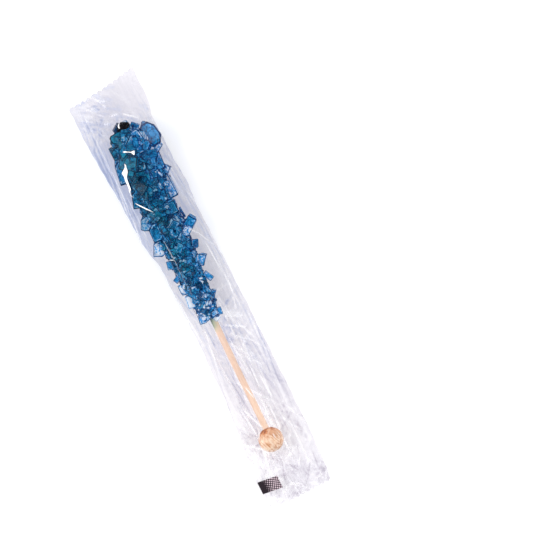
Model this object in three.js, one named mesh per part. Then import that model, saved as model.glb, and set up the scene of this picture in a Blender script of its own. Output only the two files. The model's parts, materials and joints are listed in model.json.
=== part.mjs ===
// A stick of rock candy, heat-sealed in a clear flow wrap, lying on its back seam.
// The wrap is one closed solid that follows the outside of the film: a pillow drawn over the candy, the bare
// stick and its wooden ball, a ribbed seal band with a zigzag cut at each end, and a flat seam down the back.
// Frame: millimetres, X across the wrap, Y along it towards the candy end, Z up. The origin is on the ground,
// below the middle of the wrap.
import * as THREE from 'three';

// ---- The film ----
const SEAL_THICKNESS = 0.5;
const SEAM_WIDTH = 11.6;
const SEAM_MIDDLE = -2.8;
const SEAM_THICKNESS = 0.4;
const TOOTH_COUNT = 12;
const TOOTH_DEPTH = 1.3;
const RIB_HEIGHT = 0.15;

// ---- Where the film changes shape along the wrap ----
const BALL_CUT = -103.3;
const BALL_SEAL = -89.5;
const BALL_SHOULDER = -78;
const CANDY_SHOULDER = 79;
const CANDY_SEAL = 89.5;
const CANDY_CUT = 100;
const BALL_SEAL_HEIGHT = 4;
const CANDY_SEAL_HEIGHT = 7;

// How far one corner of each cut runs out past the other, the right one at the candy end and the left one at
// the ball end: the film is sealed slightly askew.
const CANDY_CUT_SKEW = 4.3;
const BALL_CUT_SKEW = 0.7;

// The heights of the two films where they are welded to each other.
function welded(height) {
  return { edge: height, crown: height + SEAL_THICKNESS / 2, floor: height - SEAL_THICKNESS / 2 };
}

// left, right: the folded side edges. edge: their height. crown: the top of the film. floor: its underside.
const STATIONS = [
  { y: BALL_CUT, left: -16.8, right: 13.4, ...welded(BALL_SEAL_HEIGHT) },
  { y: BALL_SEAL, left: -17.4, right: 14.7, ...welded(BALL_SEAL_HEIGHT) },
  { y: BALL_SHOULDER, left: -15.9, right: 15.1, edge: 4.4, crown: 11.8, floor: 0 },
  { y: -68, left: -14.6, right: 15.2, edge: 4.6, crown: 12.3, floor: 0 },
  { y: -47, left: -12.9, right: 15.4, edge: 5, crown: 12.8, floor: 0 },
  { y: -18, left: -12, right: 15.5, edge: 5.6, crown: 14.6, floor: 0 },
  { y: 16, left: -12, right: 15.4, edge: 6.2, crown: 16.6, floor: 0 },
  { y: 31, left: -14.7, right: 15.2, edge: 6.5, crown: 17.6, floor: 0 },
  { y: 48, left: -14.9, right: 16.1, edge: 6.8, crown: 19, floor: 0 },
  { y: 62, left: -15.7, right: 15.3, edge: 7, crown: 20, floor: 0 },
  { y: CANDY_SHOULDER, left: -16.8, right: 15.5, edge: 7, crown: 18.6, floor: 0 },
  { y: CANDY_SEAL, left: -16.7, right: 17.2, ...welded(CANDY_SEAL_HEIGHT) },
  { y: CANDY_CUT, left: -17, right: 17.4, ...welded(CANDY_SEAL_HEIGHT) },
];

// ---- How the loose film drapes ----
const DRAPE_POWER = 1.25;
const UNDERSIDE_POWER = 2.4;
const GATHER_COUNT = 7;
const GATHER_HEIGHT = 0.9;
const LUMP_LENGTH = 19;
const LUMP_WIDTH = 12;
const LUMP_HEIGHT = 0.7;
const CANDY_BASE = -15;

// ---- How finely the film is divided ----
const COLUMNS_PER_TOOTH = 4;
const COLUMNS = TOOTH_COUNT * COLUMNS_PER_TOOTH;
const SEAM_COLUMNS = COLUMNS / 3;
const WING_COLUMNS = (COLUMNS - SEAM_COLUMNS) / 2;
const SHOULDER_ROWS = 6;
const BODY_ROWS = 23;

const { cos, sin, abs, PI } = Math;
const { lerp, smoothstep } = THREE.MathUtils;

// Every measure of the wrap at a place along it, eased from one station to the next.
function stationAt(y) {
  const after = STATIONS.findIndex((station) => station.y >= y);
  const next = STATIONS[after === -1 ? STATIONS.length - 1 : after];
  const last = STATIONS[after === -1 ? STATIONS.length - 1 : Math.max(after - 1, 0)];
  const share = smoothstep(y, last.y, next.y);
  const measures = {};
  for (const name of ['left', 'right', 'edge', 'crown', 'floor']) {
    measures[name] = lerp(last[name], next[name], share);
  }
  return measures;
}

// 0 in the two seal bands, where both films are welded, and 1 where the film is open over the contents.
function openness(y) {
  const fromBall = smoothstep(y, BALL_SEAL, BALL_SHOULDER);
  return Math.min(fromBall, 1 - smoothstep(y, CANDY_SHOULDER, CANDY_SEAL));
}

// Where each row of the mesh crosses the wrap: one long step over each seal band, and short ones over the
// shoulders.
function rowPlaces() {
  const places = [BALL_CUT];
  const stretches = [
    [BALL_SEAL, BALL_SHOULDER, SHOULDER_ROWS],
    [BALL_SHOULDER, CANDY_SHOULDER, BODY_ROWS],
    [CANDY_SHOULDER, CANDY_SEAL, SHOULDER_ROWS],
  ];
  for (const [from, to, count] of stretches) {
    for (let step = 0; step < count; step += 1) {
      places.push(lerp(from, to, step / count));
    }
  }
  places.push(CANDY_SEAL, CANDY_CUT);
  return places;
}

// The place of each column across one row. The seam keeps its place and width, and the sides take up the
// rest.
function columnPlaces(left, right) {
  const seamLeft = SEAM_MIDDLE - SEAM_WIDTH / 2;
  const seamRight = seamLeft + SEAM_WIDTH;
  const places = [];
  for (let column = 0; column <= COLUMNS; column += 1) {
    const pastWing = column - WING_COLUMNS;
    const pastSeam = pastWing - SEAM_COLUMNS;
    if (pastWing < 0) {
      places.push(lerp(left, seamLeft, column / WING_COLUMNS));
    } else if (pastSeam <= 0) {
      places.push(lerp(seamLeft, seamRight, pastWing / SEAM_COLUMNS));
    } else {
      places.push(lerp(seamRight, right, pastSeam / WING_COLUMNS));
    }
  }
  return places;
}

// How far a column's point stands in from the ends of the teeth: 0 on a tip and 1 in a notch.
function toothShare(column) {
  return abs(((column / COLUMNS_PER_TOOTH) % 1) - 0.5) * 2;
}

// A column's place on a cut, with the cut's skew and its teeth. side is -1 at the ball end and 1 at the candy
// end.
function cutPlace(side, column) {
  const across = column / COLUMNS;
  const tips = side < 0 ? BALL_CUT - BALL_CUT_SKEW * (1 - across) : CANDY_CUT + CANDY_CUT_SKEW * across ** 2;
  return tips - side * TOOTH_DEPTH * toothShare(column);
}

// The ribs that the heated jaws press into a seal band, one column up and the next one down.
function rib(column, y) {
  return (column % 2 ? 1 : -1) * RIB_HEIGHT * (1 - openness(y));
}

// The height of the upper film, draped from its crown to the side edges. across runs from -1 to 1 between
// them.
function upperHeight(x, y, across, at) {
  const drape = cos((PI / 2) * across) ** DRAPE_POWER;
  const open = openness(y);
  const gather = GATHER_HEIGHT * 4 * open * (1 - open) * cos(GATHER_COUNT * PI * across);
  const candy = smoothstep(y, CANDY_BASE, CANDY_BASE + LUMP_LENGTH) * open;
  const lump = LUMP_HEIGHT * candy * sin((2 * PI * y) / LUMP_LENGTH) * cos((2 * PI * x) / LUMP_WIDTH);
  const edge = at.edge + SEAL_THICKNESS / 2;
  return edge + (at.crown - edge + gather + lump) * drape;
}

// The height of the lower film: flat along the back seam, and rising from it to the side edges.
function lowerHeight(column, y, at) {
  const outward = Math.max(abs(column - COLUMNS / 2) - SEAM_COLUMNS / 2, 0) / WING_COLUMNS;
  if (outward === 0) {
    return at.floor;
  }
  const back = at.floor + SEAM_THICKNESS * openness(y);
  return lerp(back, at.edge - SEAL_THICKNESS / 2, outward ** UNDERSIDE_POWER);
}

// The film's outside as one closed mesh: an upper and a lower sheet, row by row, joined by a narrow rim.
function filmGeometry() {
  const rows = rowPlaces();
  const sheets = { upper: [], lower: [] };
  rows.forEach((y, row) => {
    const at = stationAt(y);
    columnPlaces(at.left, at.right).forEach((x, column) => {
      const across = (2 * (x - at.left)) / (at.right - at.left) - 1;
      const end = row === 0 ? -1 : row === rows.length - 1 ? 1 : 0;
      const place = end ? cutPlace(end, column) : y;
      const ribs = rib(column, y);
      sheets.upper.push(x, place, upperHeight(x, y, across, at) + ribs);
      sheets.lower.push(x, place, lowerHeight(column, y, at) + ribs);
    });
  });

  const stride = COLUMNS + 1;
  const underside = rows.length * stride;
  const triangles = [];
  const quad = (a, b, c, d) => triangles.push(a, b, c, a, c, d);
  for (let row = 0; row < rows.length - 1; row += 1) {
    for (let column = 0; column < COLUMNS; column += 1) {
      const near = row * stride + column;
      const far = near + stride;
      quad(near, near + 1, far + 1, far);
      quad(underside + near, underside + far, underside + far + 1, underside + near + 1);
    }
    const left = row * stride;
    const right = left + COLUMNS;
    quad(left, left + stride, underside + left + stride, underside + left);
    quad(right, underside + right, underside + right + stride, right + stride);
  }
  for (let column = 0; column < COLUMNS; column += 1) {
    const far = (rows.length - 1) * stride + column;
    quad(column, underside + column, underside + column + 1, column + 1);
    quad(far, far + 1, underside + far + 1, underside + far);
  }

  const geometry = new THREE.BufferGeometry();
  const positions = [...sheets.upper, ...sheets.lower];
  geometry.setAttribute('position', new THREE.Float32BufferAttribute(positions, 3));
  geometry.setIndex(triangles);
  geometry.computeVertexNormals();
  return geometry;
}

const film = new THREE.MeshStandardMaterial({
  color: 0xe4e5f2,
  roughness: 0.12,
  metalness: 0,
  transparent: true,
  opacity: 0.45,
});

const wrapper = new THREE.Mesh(filmGeometry(), film);
wrapper.name = 'wrapper';

const candyStick = new THREE.Group();
candyStick.add(wrapper);

export default candyStick;
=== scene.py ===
"""A stick of blue rock candy in a clear flow wrap: its looks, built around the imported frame.

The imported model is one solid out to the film. This script puts in its place the film itself, drawn over real
contents: sugar crystals grown on a dyed core, a round birch stick and its turned wooden ball.
"""
import json
import logging
import math
from collections.abc import Iterator
from contextlib import contextmanager
from dataclasses import dataclass
from enum import Enum
from typing import Any

import bpy
import numpy as np
from mathutils import Euler, Matrix, Vector
from mathutils.bvhtree import BVHTree

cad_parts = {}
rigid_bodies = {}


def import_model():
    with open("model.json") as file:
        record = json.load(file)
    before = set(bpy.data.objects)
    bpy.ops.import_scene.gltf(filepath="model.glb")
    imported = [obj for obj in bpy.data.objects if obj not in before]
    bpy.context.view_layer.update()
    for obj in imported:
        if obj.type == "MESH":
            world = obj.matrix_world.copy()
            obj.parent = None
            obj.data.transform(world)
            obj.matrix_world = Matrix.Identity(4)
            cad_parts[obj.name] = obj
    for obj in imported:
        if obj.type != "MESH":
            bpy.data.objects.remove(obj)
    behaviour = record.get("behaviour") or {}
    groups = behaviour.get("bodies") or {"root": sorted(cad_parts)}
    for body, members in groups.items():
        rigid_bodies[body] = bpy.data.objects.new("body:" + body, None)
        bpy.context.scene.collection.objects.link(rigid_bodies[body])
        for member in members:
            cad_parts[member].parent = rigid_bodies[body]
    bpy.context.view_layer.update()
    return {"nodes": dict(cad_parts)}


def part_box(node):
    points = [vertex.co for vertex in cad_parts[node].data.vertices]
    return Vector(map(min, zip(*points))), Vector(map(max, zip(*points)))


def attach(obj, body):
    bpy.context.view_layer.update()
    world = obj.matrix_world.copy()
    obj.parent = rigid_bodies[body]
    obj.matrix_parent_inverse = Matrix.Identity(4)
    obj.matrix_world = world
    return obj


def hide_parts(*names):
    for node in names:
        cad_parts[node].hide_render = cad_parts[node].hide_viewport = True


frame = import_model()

LOG = logging.getLogger("candy_stick")
MM = 0.001
WRAPPER = "wrapper"
# The height that rays are cast down from, in metres: above everything.
SKY = 0.1
Values = np.ndarray | float


# ---- Small helpers ----


def linear(code: str, alpha: float = 1.0) -> tuple[float, float, float, float]:
    """Turns an sRGB hex colour into Blender's linear one.

    Args:
        code: The colour as "#RRGGBB".
        alpha: The fourth channel.

    Returns:
        Red, green, blue and alpha, each from 0 to 1.
    """
    channels = [int(code[i : i + 2], 16) / 255 for i in (1, 3, 5)]
    red, green, blue = [c / 12.92 if c <= 0.04045 else ((c + 0.055) / 1.055) ** 2.4 for c in channels]
    return red, green, blue, alpha


def per_mm(size: float) -> float:
    """A pattern's scale, from the real size of its detail in millimetres."""
    return 1 / (size * MM)


def add_node(
    tree: bpy.types.NodeTree,
    kind: str,
    inputs: dict[Any, Any] | None = None,
    out: int | str = 0,
    stops: tuple[tuple[float, str], ...] = (),
    **settings: Any,
) -> Any:
    """Adds one node with its settings, its plain values and its links.

    Args:
        tree: The node tree that takes the node.
        kind: The shader node's type without its prefix, such as "TexNoise".
        inputs: Input name or index to a plain value, or to the output socket that feeds it.
        out: The output that is wanted, by its name or index.
        stops: A colour ramp's stops in order: each one's place and sRGB hex colour.
        **settings: Properties of the node itself.

    Returns:
        The wanted output socket, or None from a node without any.
    """
    node = tree.nodes.new("ShaderNode" + kind)
    for name, value in settings.items():
        setattr(node, name, value)
    for name, value in (inputs or {}).items():
        if isinstance(value, bpy.types.NodeSocket):
            tree.links.new(value, node.inputs[name])
        else:
            node.inputs[name].default_value = value
    elements = node.color_ramp.elements if stops else ()
    while len(elements) < len(stops):
        elements.new(1.0)
    for element, (place, code) in zip(elements, stops):
        element.position = place
        element.color = linear(code)
    return node.outputs[out] if node.outputs else None


def deselect() -> None:
    """Leaves nothing selected, so that the next operator acts only on its own piece."""
    for other in bpy.context.scene.objects:
        other.select_set(False)


@contextmanager
def editing(whole: bool = True) -> Iterator[None]:
    """Opens the active mesh for editing, with all of it selected if whole, and closes it afterwards.

    Args:
        whole: Whether all of the mesh is selected at first.
    """
    bpy.ops.object.mode_set(mode="EDIT")
    if whole:
        bpy.ops.mesh.select_all(action="SELECT")
    yield
    bpy.ops.object.mode_set(mode="OBJECT")


def points_of(piece: bpy.types.Object) -> np.ndarray:
    """A mesh's vertices, as rows of x, y and z."""
    points = np.empty(len(piece.data.vertices) * 3)
    piece.data.vertices.foreach_get("co", points)
    return points.reshape(-1, 3)


def move_points(piece: bpy.types.Object, points: np.ndarray) -> None:
    """Puts a mesh's vertices at new places."""
    piece.data.vertices.foreach_set("co", np.asarray(points, np.float32).ravel())
    piece.data.update()


def note_values(piece: bpy.types.Object, **values: np.ndarray) -> None:
    """Writes a number for each vertex under each of these names, for the piece's finish to read."""
    for name, numbers in values.items():
        piece.data.attributes.new(name, "FLOAT", "POINT").data.foreach_set("value", numbers.ravel())


def select_vertices(piece: bpy.types.Object, chosen: np.ndarray) -> None:
    """Selects some of a mesh's vertices, and whatever they span, for the edit that follows.

    Args:
        piece: The object, in object mode.
        chosen: True for each vertex to select.
    """
    mesh = piece.data
    mesh.vertices.foreach_set("select", chosen)
    ends = np.empty(len(mesh.edges) * 2, np.int32)
    mesh.edges.foreach_get("vertices", ends)
    mesh.edges.foreach_set("select", chosen[ends.reshape(-1, 2)].all(1))
    mesh.polygons.foreach_set("select", [bool(chosen[list(p.vertices)].all()) for p in mesh.polygons])


def ringed_cylinder(sides: int, rings: int, radius: float, caps: str = "NGON") -> bpy.types.Object:
    """Adds a cylinder one unit long that stands on Z, and cuts it into rings by subdividing its long edges.

    Args:
        sides: How many sides it has.
        rings: How many rings its side gets.
        radius: Its radius.
        caps: How its ends are filled.

    Returns:
        The cylinder.
    """
    deselect()
    bpy.ops.mesh.primitive_cylinder_add(vertices=sides, radius=radius, depth=1.0, end_fill_type=caps)
    piece = bpy.context.object
    with editing(whole=False):
        bpy.ops.mesh.select_mode(type="EDGE")
        bpy.ops.mesh.select_all(action="DESELECT")
    heights = points_of(piece)[:, 2]
    for edge in piece.data.edges:
        ends = heights[list(edge.vertices)]
        edge.select = bool(abs(ends[0] - ends[1]) > 0.5)
    with editing(whole=False):
        bpy.ops.mesh.subdivide(number_cuts=rings - 1)
        bpy.ops.mesh.select_mode(type="VERT")
    return piece


def new_grid(rows: int, columns: int) -> bpy.types.Object:
    """Adds a flat grid of so many rows and columns of points, to be moved into place."""
    deselect()
    bpy.ops.mesh.primitive_grid_add(x_subdivisions=columns - 1, y_subdivisions=rows - 1, size=1.0)
    return bpy.context.object


def thicken(sheet: bpy.types.Object, thickness: float) -> None:
    """Gives a sheet, which is the active object, its thickness."""
    sheet.modifiers.new("thickness", "SOLIDIFY").thickness = thickness
    bpy.ops.object.modifier_apply(modifier="thickness")


def height_below(surface: BVHTree, x: float, y: float) -> float | None:
    """The height of what a ray cast straight down at x and y meets first, or None where it meets nothing."""
    hit = surface.ray_cast(Vector((x, y, SKY)), Vector((0, 0, -1)))[0]
    return None if hit is None else hit.z


def tree_of(piece: bpy.types.Object) -> BVHTree:
    """A finished piece's surface, for rays to be cast at."""
    return BVHTree.FromObject(piece, bpy.context.evaluated_depsgraph_get())


def smooth(share: Values) -> Any:
    """Eases a share from 0 to 1, flat at both ends."""
    share = np.clip(share, 0.0, 1.0)
    return share * share * (3 - 2 * share)


def read(table: np.ndarray, place: Values, column: int = 1) -> Any:
    """Reads one column of a table at a place between its rows. Its first column holds the rows' places."""
    return np.interp(place, table[:, 0], table[:, column])


def finish_piece(
    piece: bpy.types.Object, name: str, material: bpy.types.Material
) -> bpy.types.Object:
    """Names a finished mesh, dresses it and makes it ride with the part.

    Args:
        piece: The object, already in its place.
        name: The piece's name.
        material: Its finish.

    Returns:
        The same object.
    """
    piece.name = name
    piece.data.name = name
    piece.data.materials.clear()
    piece.data.materials.append(material)
    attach(piece, "root")
    LOG.info("%s: %d faces", name, len(piece.data.polygons))
    return piece


# ---- Finishes ----


class Finish:
    """What every finish has: its common name, and one surface that its nodes end in."""

    name: str

    def surface(self, tree: bpy.types.NodeTree) -> Any:
        """Adds the finish's own nodes, and gives the shader that they end in.

        Args:
            tree: The material's node tree.

        Returns:
            The shader that the nodes end in.
        """
        raise NotImplementedError

    def material(self) -> bpy.types.Material:
        """Makes the material.

        Returns:
            The material, dressed with the finish.
        """
        material = bpy.data.materials.new(self.name)
        material.use_nodes = True
        tree = material.node_tree
        tree.nodes.clear()
        add_node(tree, "OutputMaterial", {"Surface": self.surface(tree)})
        return material


@dataclass(frozen=True)
class FilmFinish(Finish):
    """Cast polypropylene film, 35 microns thick: clear, glossy, a little lavender, and denser along its folds,
    partly with painted shade.

    It is greyer at the ball end, up to grey_to_mm from the wrap's middle, and bluer from blue_shade_from_mm
    on:
    a painted blue shade where light through the candy falls.
    """

    name: str = "clear_polypropylene_film"
    clear: str = "#FFFFFF"
    thin: str = "#FBFAFB"
    misty: str = "#EFEEF1"
    # hazy and dense are the bluer tints used towards the candy: a painted blue shade from light through it.
    hazy: str = "#E3E6F1"
    dense: str = "#C4CBE0"
    grey_hazy: str = "#E6E3E8"
    grey_dense: str = "#CDC9D2"
    gloss: str = "#FFFFFF"
    whitened: str = "#FFFFFF"
    grey_to_mm: float = -70.0
    blue_shade_from_mm: float = -15.0
    gloss_ior: float = 1.12
    most_gloss: float = 0.03
    roughness: float = 0.18
    streak_mm: float = 1.1
    crinkle_mm: float = 3.2

    def surface(self, tree: bpy.types.NodeTree) -> Any:
        """Mixes a clear tinted sheet with its gloss, which grows as the film turns away, and paints white
        highlights where the film's whitened attribute marks it.

        Args:
            tree: The material's node tree.

        Returns:
            The shader that the nodes end in.
        """
        place = add_node(tree, "TexCoord", out="Object")
        along = add_node(tree, "Mapping", {"Vector": place, "Scale": (1.0, 0.10, 1.0)})
        streaks = {"Vector": along, "Scale": per_mm(self.streak_mm), "Detail": 4.0, "Distortion": 0.8}
        crinkle = {"Vector": place, "Scale": per_mm(self.crinkle_mm), "Detail": 5.0, "Distortion": 1.2}
        streaks, crinkle = [add_node(tree, "TexNoise", noise, "Fac") for noise in (streaks, crinkle)]
        relief = add_node(tree, "Math", {0: streaks, 1: crinkle}, operation="ADD")
        bump = add_node(tree, "Bump", {"Height": relief, "Strength": 0.04, "Distance": 0.2 * MM})
        names = ("fold", "worked", "whitened")
        fold, worked, sharp = [add_node(tree, "Attribute", out="Fac", attribute_name=name) for name in names]
        marks = add_node(tree, "Math", {0: relief, 1: worked}, operation="MULTIPLY")
        density = {"Fac": add_node(tree, "Math", {0: marks, 1: fold}, operation="ADD")}
        thinner = ((0.19, self.misty), (0.31, self.thin), (0.38, self.clear))
        tints = ((self.dense, self.hazy), (self.grey_dense, self.grey_hazy))
        tints = [((0.0, dense), (0.12, hazy), *thinner) for dense, hazy in tints]
        blue, grey = [add_node(tree, "ValToRGB", density, stops=stops) for stops in tints]
        # Bluer towards the candy, a painted blue shade, and greyer towards the ball.
        along = add_node(tree, "SeparateXYZ", {0: place}, "Y")
        blue_shaded = {"Value": along, "From Min": self.grey_to_mm * MM, "From Max": self.blue_shade_from_mm * MM}
        blue_shaded = add_node(tree, "MapRange", blue_shaded)
        tint = add_node(tree, "Mix", {0: blue_shaded, 6: grey, 7: blue}, 2, data_type="RGBA")
        sheet = add_node(tree, "BsdfTransparent", {"Color": tint})
        gloss = {"Color": linear(self.gloss), "Roughness": self.roughness, "Normal": bump}
        gloss = add_node(tree, "BsdfGlossy", gloss)
        shine = add_node(tree, "Fresnel", {"IOR": self.gloss_ior, "Normal": bump})
        held = add_node(tree, "Math", {0: shine, 1: self.most_gloss}, operation="MINIMUM")
        glossy = add_node(tree, "MixShader", {"Fac": held, 1: sheet, 2: gloss})
        # Painted highlights: plain white wherever the film is marked with them.
        white = add_node(tree, "BsdfDiffuse", {"Color": linear(self.whitened)})
        return add_node(tree, "MixShader", {"Fac": sharp, 1: glossy, 2: white})


@dataclass(frozen=True)
class SugarFinish(Finish):
    """Dyed sucrose crystal, grown in syrup: glassy flat faces, clear inside, with painted shade deepening the
    blue along its edges and a painted highlight line just inside them.
    """

    name: str = "dyed_sugar_crystal"
    clear: str = "#F2F7FA"
    pale: str = "#46ACEE"
    mid: str = "#0C92D0"
    deep: str = "#023468"
    teal_pale: str = "#0A9CC0"
    teal_deep: str = "#003C56"
    shadow: str = "#B2D3EE"
    ior: float = 1.22
    specular: float = 0.08
    roughness: float = 0.18
    grain_mm: float = 1.2
    grit_mm: float = 0.7
    facet_mm: float = 2.2
    bend_mm: float = 1.1

    def surface(self, tree: bpy.types.NodeTree) -> Any:
        """Tints each crystal by its own share of dye, and lets lamps through it as through real sugar.

        Args:
            tree: The material's node tree.

        Returns:
            The shader that the nodes end in.
        """
        place = add_node(tree, "TexCoord", out="Object")
        names = ("dye", "teal", "painted_rim")
        dye, teal, painted_rim = [add_node(tree, "Attribute", out="Fac", attribute_name=name) for name in names]
        cloud = {"Vector": place, "Scale": per_mm(self.grain_mm), "Detail": 4.0}
        grit = {"Vector": place, "Scale": per_mm(self.grit_mm), "Detail": 2.0}
        cloud, grit = [add_node(tree, "TexNoise", noise, "Fac") for noise in (cloud, grit)]
        bent = {0: grit.node.outputs["Color"], "Scale": self.bend_mm * MM}
        bent = add_node(tree, "VectorMath", bent, operation="SCALE")
        bent = add_node(tree, "VectorMath", {0: place, 1: bent}, operation="ADD")
        facets = {"Vector": bent, "Scale": per_mm(self.facet_mm)}
        facet = add_node(tree, "TexVoronoi", facets, "Color")
        crack = add_node(tree, "TexVoronoi", facets, "Distance", feature="DISTANCE_TO_EDGE")
        crack = add_node(tree, "MapRange", {"Value": crack, "From Max": 0.09, "To Min": 0.5, "To Max": 0.0})
        share = dye
        # Each mark's weight, and the value at which it leaves the dye as it is.
        # The painted rim darkens each crystal along its edges as painted shade, and lightens a line just
        # inside them as a painted highlight.
        marks = ((cloud, 0.7, 0.5), (grit, 1.0, 0.5), (facet, 0.40, 0.5), (painted_rim, 1.1, 0.0), (crack, 1.0, 0.1))
        for mark, weight, middle in marks:
            mark = add_node(tree, "Math", {0: mark, 1: middle}, operation="SUBTRACT")
            share = add_node(tree, "Math", {0: mark, 1: weight, 2: share}, operation="MULTIPLY_ADD")
        blues = ((0.0, self.clear), (0.16, self.pale), (0.52, self.mid), (1.0, self.deep))
        teals = ((0.05, self.teal_pale), (0.85, self.teal_deep))
        blue, green = [add_node(tree, "ValToRGB", {"Fac": share}, stops=stops) for stops in (blues, teals)]
        colour = add_node(tree, "Mix", {0: teal, 6: blue, 7: green}, 2, data_type="RGBA")
        crystal = {
            "Base Color": colour,
            "Roughness": self.roughness,
            "IOR": self.ior,
            "Specular IOR Level": self.specular,
            "Transmission Weight": 0.45,
            "Normal": add_node(tree, "Bump", {"Height": cloud, "Strength": 0.25, "Distance": 0.2 * MM}),
        }
        crystal = add_node(tree, "BsdfPrincipled", crystal)
        through = add_node(tree, "BsdfTransparent", {"Color": linear(self.shadow)})
        shaded = add_node(tree, "LightPath", out="Is Shadow Ray")
        return add_node(tree, "MixShader", {"Fac": shaded, 1: crystal, 2: through})


@dataclass(frozen=True)
class CoreFinish(Finish):
    """Fine dyed sugar packed round the stick: teal where the wood shows through it, and rough."""

    name: str = "packed_dyed_sugar"
    dark: str = "#01202E"
    mid: str = "#064658"
    light: str = "#0E6E80"
    grain_mm: float = 1.8

    def surface(self, tree: bpy.types.NodeTree) -> Any:
        """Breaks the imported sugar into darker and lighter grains.

        Args:
            tree: The material's node tree.

        Returns:
            The shader that the nodes end in.
        """
        place = add_node(tree, "TexCoord", out="Object")
        grains = {"Vector": place, "Scale": per_mm(self.grain_mm)}
        grains = add_node(tree, "TexVoronoi", grains, "Distance")
        shade = {"Vector": place, "Scale": per_mm(3 * self.grain_mm), "Detail": 3.0}
        shade = add_node(tree, "TexNoise", shade, "Fac")
        share = add_node(tree, "Math", {0: grains, 1: shade}, operation="MULTIPLY")
        stops = ((0.05, self.light), (0.25, self.mid), (0.5, self.dark))
        sugar = {
            "Base Color": add_node(tree, "ValToRGB", {"Fac": share}, stops=stops),
            "Roughness": 0.5,
            "IOR": 1.54,
            "Specular IOR Level": 0.15,
            "Normal": add_node(tree, "Bump", {"Height": grains, "Strength": 0.7, "Distance": 0.6 * MM}),
        }
        return add_node(tree, "BsdfPrincipled", sugar)


@dataclass(frozen=True)
class SyrupFinish(Finish):
    """Syrup dried on the stick's tip: so full of dye that it looks black, with a brown cast, and glossy."""

    name: str = "dried_dark_syrup"
    black: str = "#04050C"
    brown: str = "#150D12"
    grain_mm: float = 1.2

    def surface(self, tree: bpy.types.NodeTree) -> Any:
        """Lets a little brown show where the syrup is thin.

        Args:
            tree: The material's node tree.

        Returns:
            The shader that the nodes end in.
        """
        place = add_node(tree, "TexCoord", out="Object")
        cloud = {"Vector": place, "Scale": per_mm(self.grain_mm), "Detail": 3.0}
        cloud = add_node(tree, "TexNoise", cloud, "Fac")
        stops = ((0.45, self.black), (0.68, self.brown))
        syrup = {
            "Base Color": add_node(tree, "ValToRGB", {"Fac": cloud}, stops=stops),
            "Roughness": 0.35,
            "IOR": 1.48,
            "Specular IOR Level": 0.03,
            "Normal": add_node(tree, "Bump", {"Height": cloud, "Strength": 0.6, "Distance": 0.3 * MM}),
        }
        return add_node(tree, "BsdfPrincipled", syrup)


@dataclass(frozen=True)
class BirchFinish(Finish):
    """Plain birch: dry, pale and matt, with fibres along it, and darker where the piece's attribute says:
    stained where it was wet, and on the ball darker round its outline, a painted shade, and towards the stick.

    turn is the fibres' angle in degrees, stretch how long they are drawn, and bands where dark, warm and pale
    wood lie. stained gives the colour of the stain and of any painted shade, from bare wood to the deepest.
    """

    name: str
    pale: str
    warm: str
    dark: str
    fibre_mm: float = 0.35
    stretch: float = 0.06
    turn: float = 0.0
    bands: tuple[float, float, float] = (0.28, 0.46, 0.66)
    stained: tuple[tuple[float, str], ...] = (
        *((0.0, "#FFFFFF"), (0.3, "#E6F6F0"), (0.6, "#B8DCD4"), (1.0, "#3A7680")),
    )

    def surface(self, tree: bpy.types.NodeTree) -> Any:
        """Draws fibres along the wood, and the stain and painted shade where the piece's own attribute puts
        them.

        Args:
            tree: The material's node tree.

        Returns:
            The shader that the nodes end in.
        """
        place = add_node(tree, "TexCoord", out="Object")
        turned = {"Vector": place, "Rotation": (0.0, 0.0, math.radians(self.turn))}
        turned = add_node(tree, "Mapping", turned)
        along = add_node(tree, "Mapping", {"Vector": turned, "Scale": (1.0, self.stretch, 1.0)})
        fibres = {"Vector": along, "Scale": per_mm(self.fibre_mm), "Detail": 5.0, "Roughness": 0.65}
        fibres = add_node(tree, "TexNoise", fibres, "Fac")
        tones = tuple(zip(self.bands, (self.dark, self.warm, self.pale)))
        bare = add_node(tree, "ValToRGB", {"Fac": fibres}, stops=tones)
        stain = add_node(tree, "Attribute", out="Fac", attribute_name="stain")
        stain_and_shade_tint = add_node(tree, "ValToRGB", {"Fac": stain}, stops=self.stained)
        stained_and_shaded = add_node(tree, "Mix", {0: 1.0, 6: bare, 7: stain_and_shade_tint}, 2, data_type="RGBA", blend_type="MULTIPLY")
        bump = add_node(tree, "Bump", {"Height": fibres, "Strength": 0.5, "Distance": 0.15 * MM})
        wood = {"Base Color": stained_and_shaded, "Roughness": 0.62, "IOR": 1.5, "Normal": bump}
        return add_node(tree, "BsdfPrincipled", wood)


@dataclass(frozen=True)
class InkFinish(Finish):
    """Flexographic black ink on film: near black with a brown cast, and thin, so paler lines cross it."""

    name: str = "printed_black_ink"
    solid: str = "#221820"
    worn: str = "#CFBAC4"
    # The lines across the ink are about 0.6 mm apart. That is too fine to show, so they are drawn coarser.
    line_mm: float = 0.95

    def surface(self, tree: bpy.types.NodeTree) -> Any:
        """Wears the ink along slanting lines both ways, more towards its right end.

        Args:
            tree: The material's node tree.

        Returns:
            The shader that the nodes end in.
        """
        place = add_node(tree, "TexCoord", out="Object")
        skewed = {"Vector": place, "Rotation": (0.0, 0.0, math.radians(32))}
        lines = {"Vector": add_node(tree, "Mapping", skewed), "Scale": math.tau / 20 / (self.line_mm * MM)}
        lines["Detail"] = 2.0
        waves = [
            add_node(tree, "TexWave", {**lines, "Distortion": warp}, "Fac", bands_direction=way)
            for way, warp in (("X", 1.5), ("Y", 1.0))
        ]
        side = add_node(tree, "Attribute", out="Fac", attribute_name="wear")
        share = add_node(tree, "Math", {0: waves[0], 1: waves[1]}, operation="MULTIPLY")
        share = add_node(tree, "Math", {0: share, 1: side}, operation="MULTIPLY")
        colour = add_node(tree, "ValToRGB", {"Fac": share}, stops=((0.05, self.solid), (0.4, self.worn)))
        ink = {"Base Color": colour, "Roughness": 0.4, "Specular IOR Level": 0.15}
        return add_node(tree, "BsdfPrincipled", ink)


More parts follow.
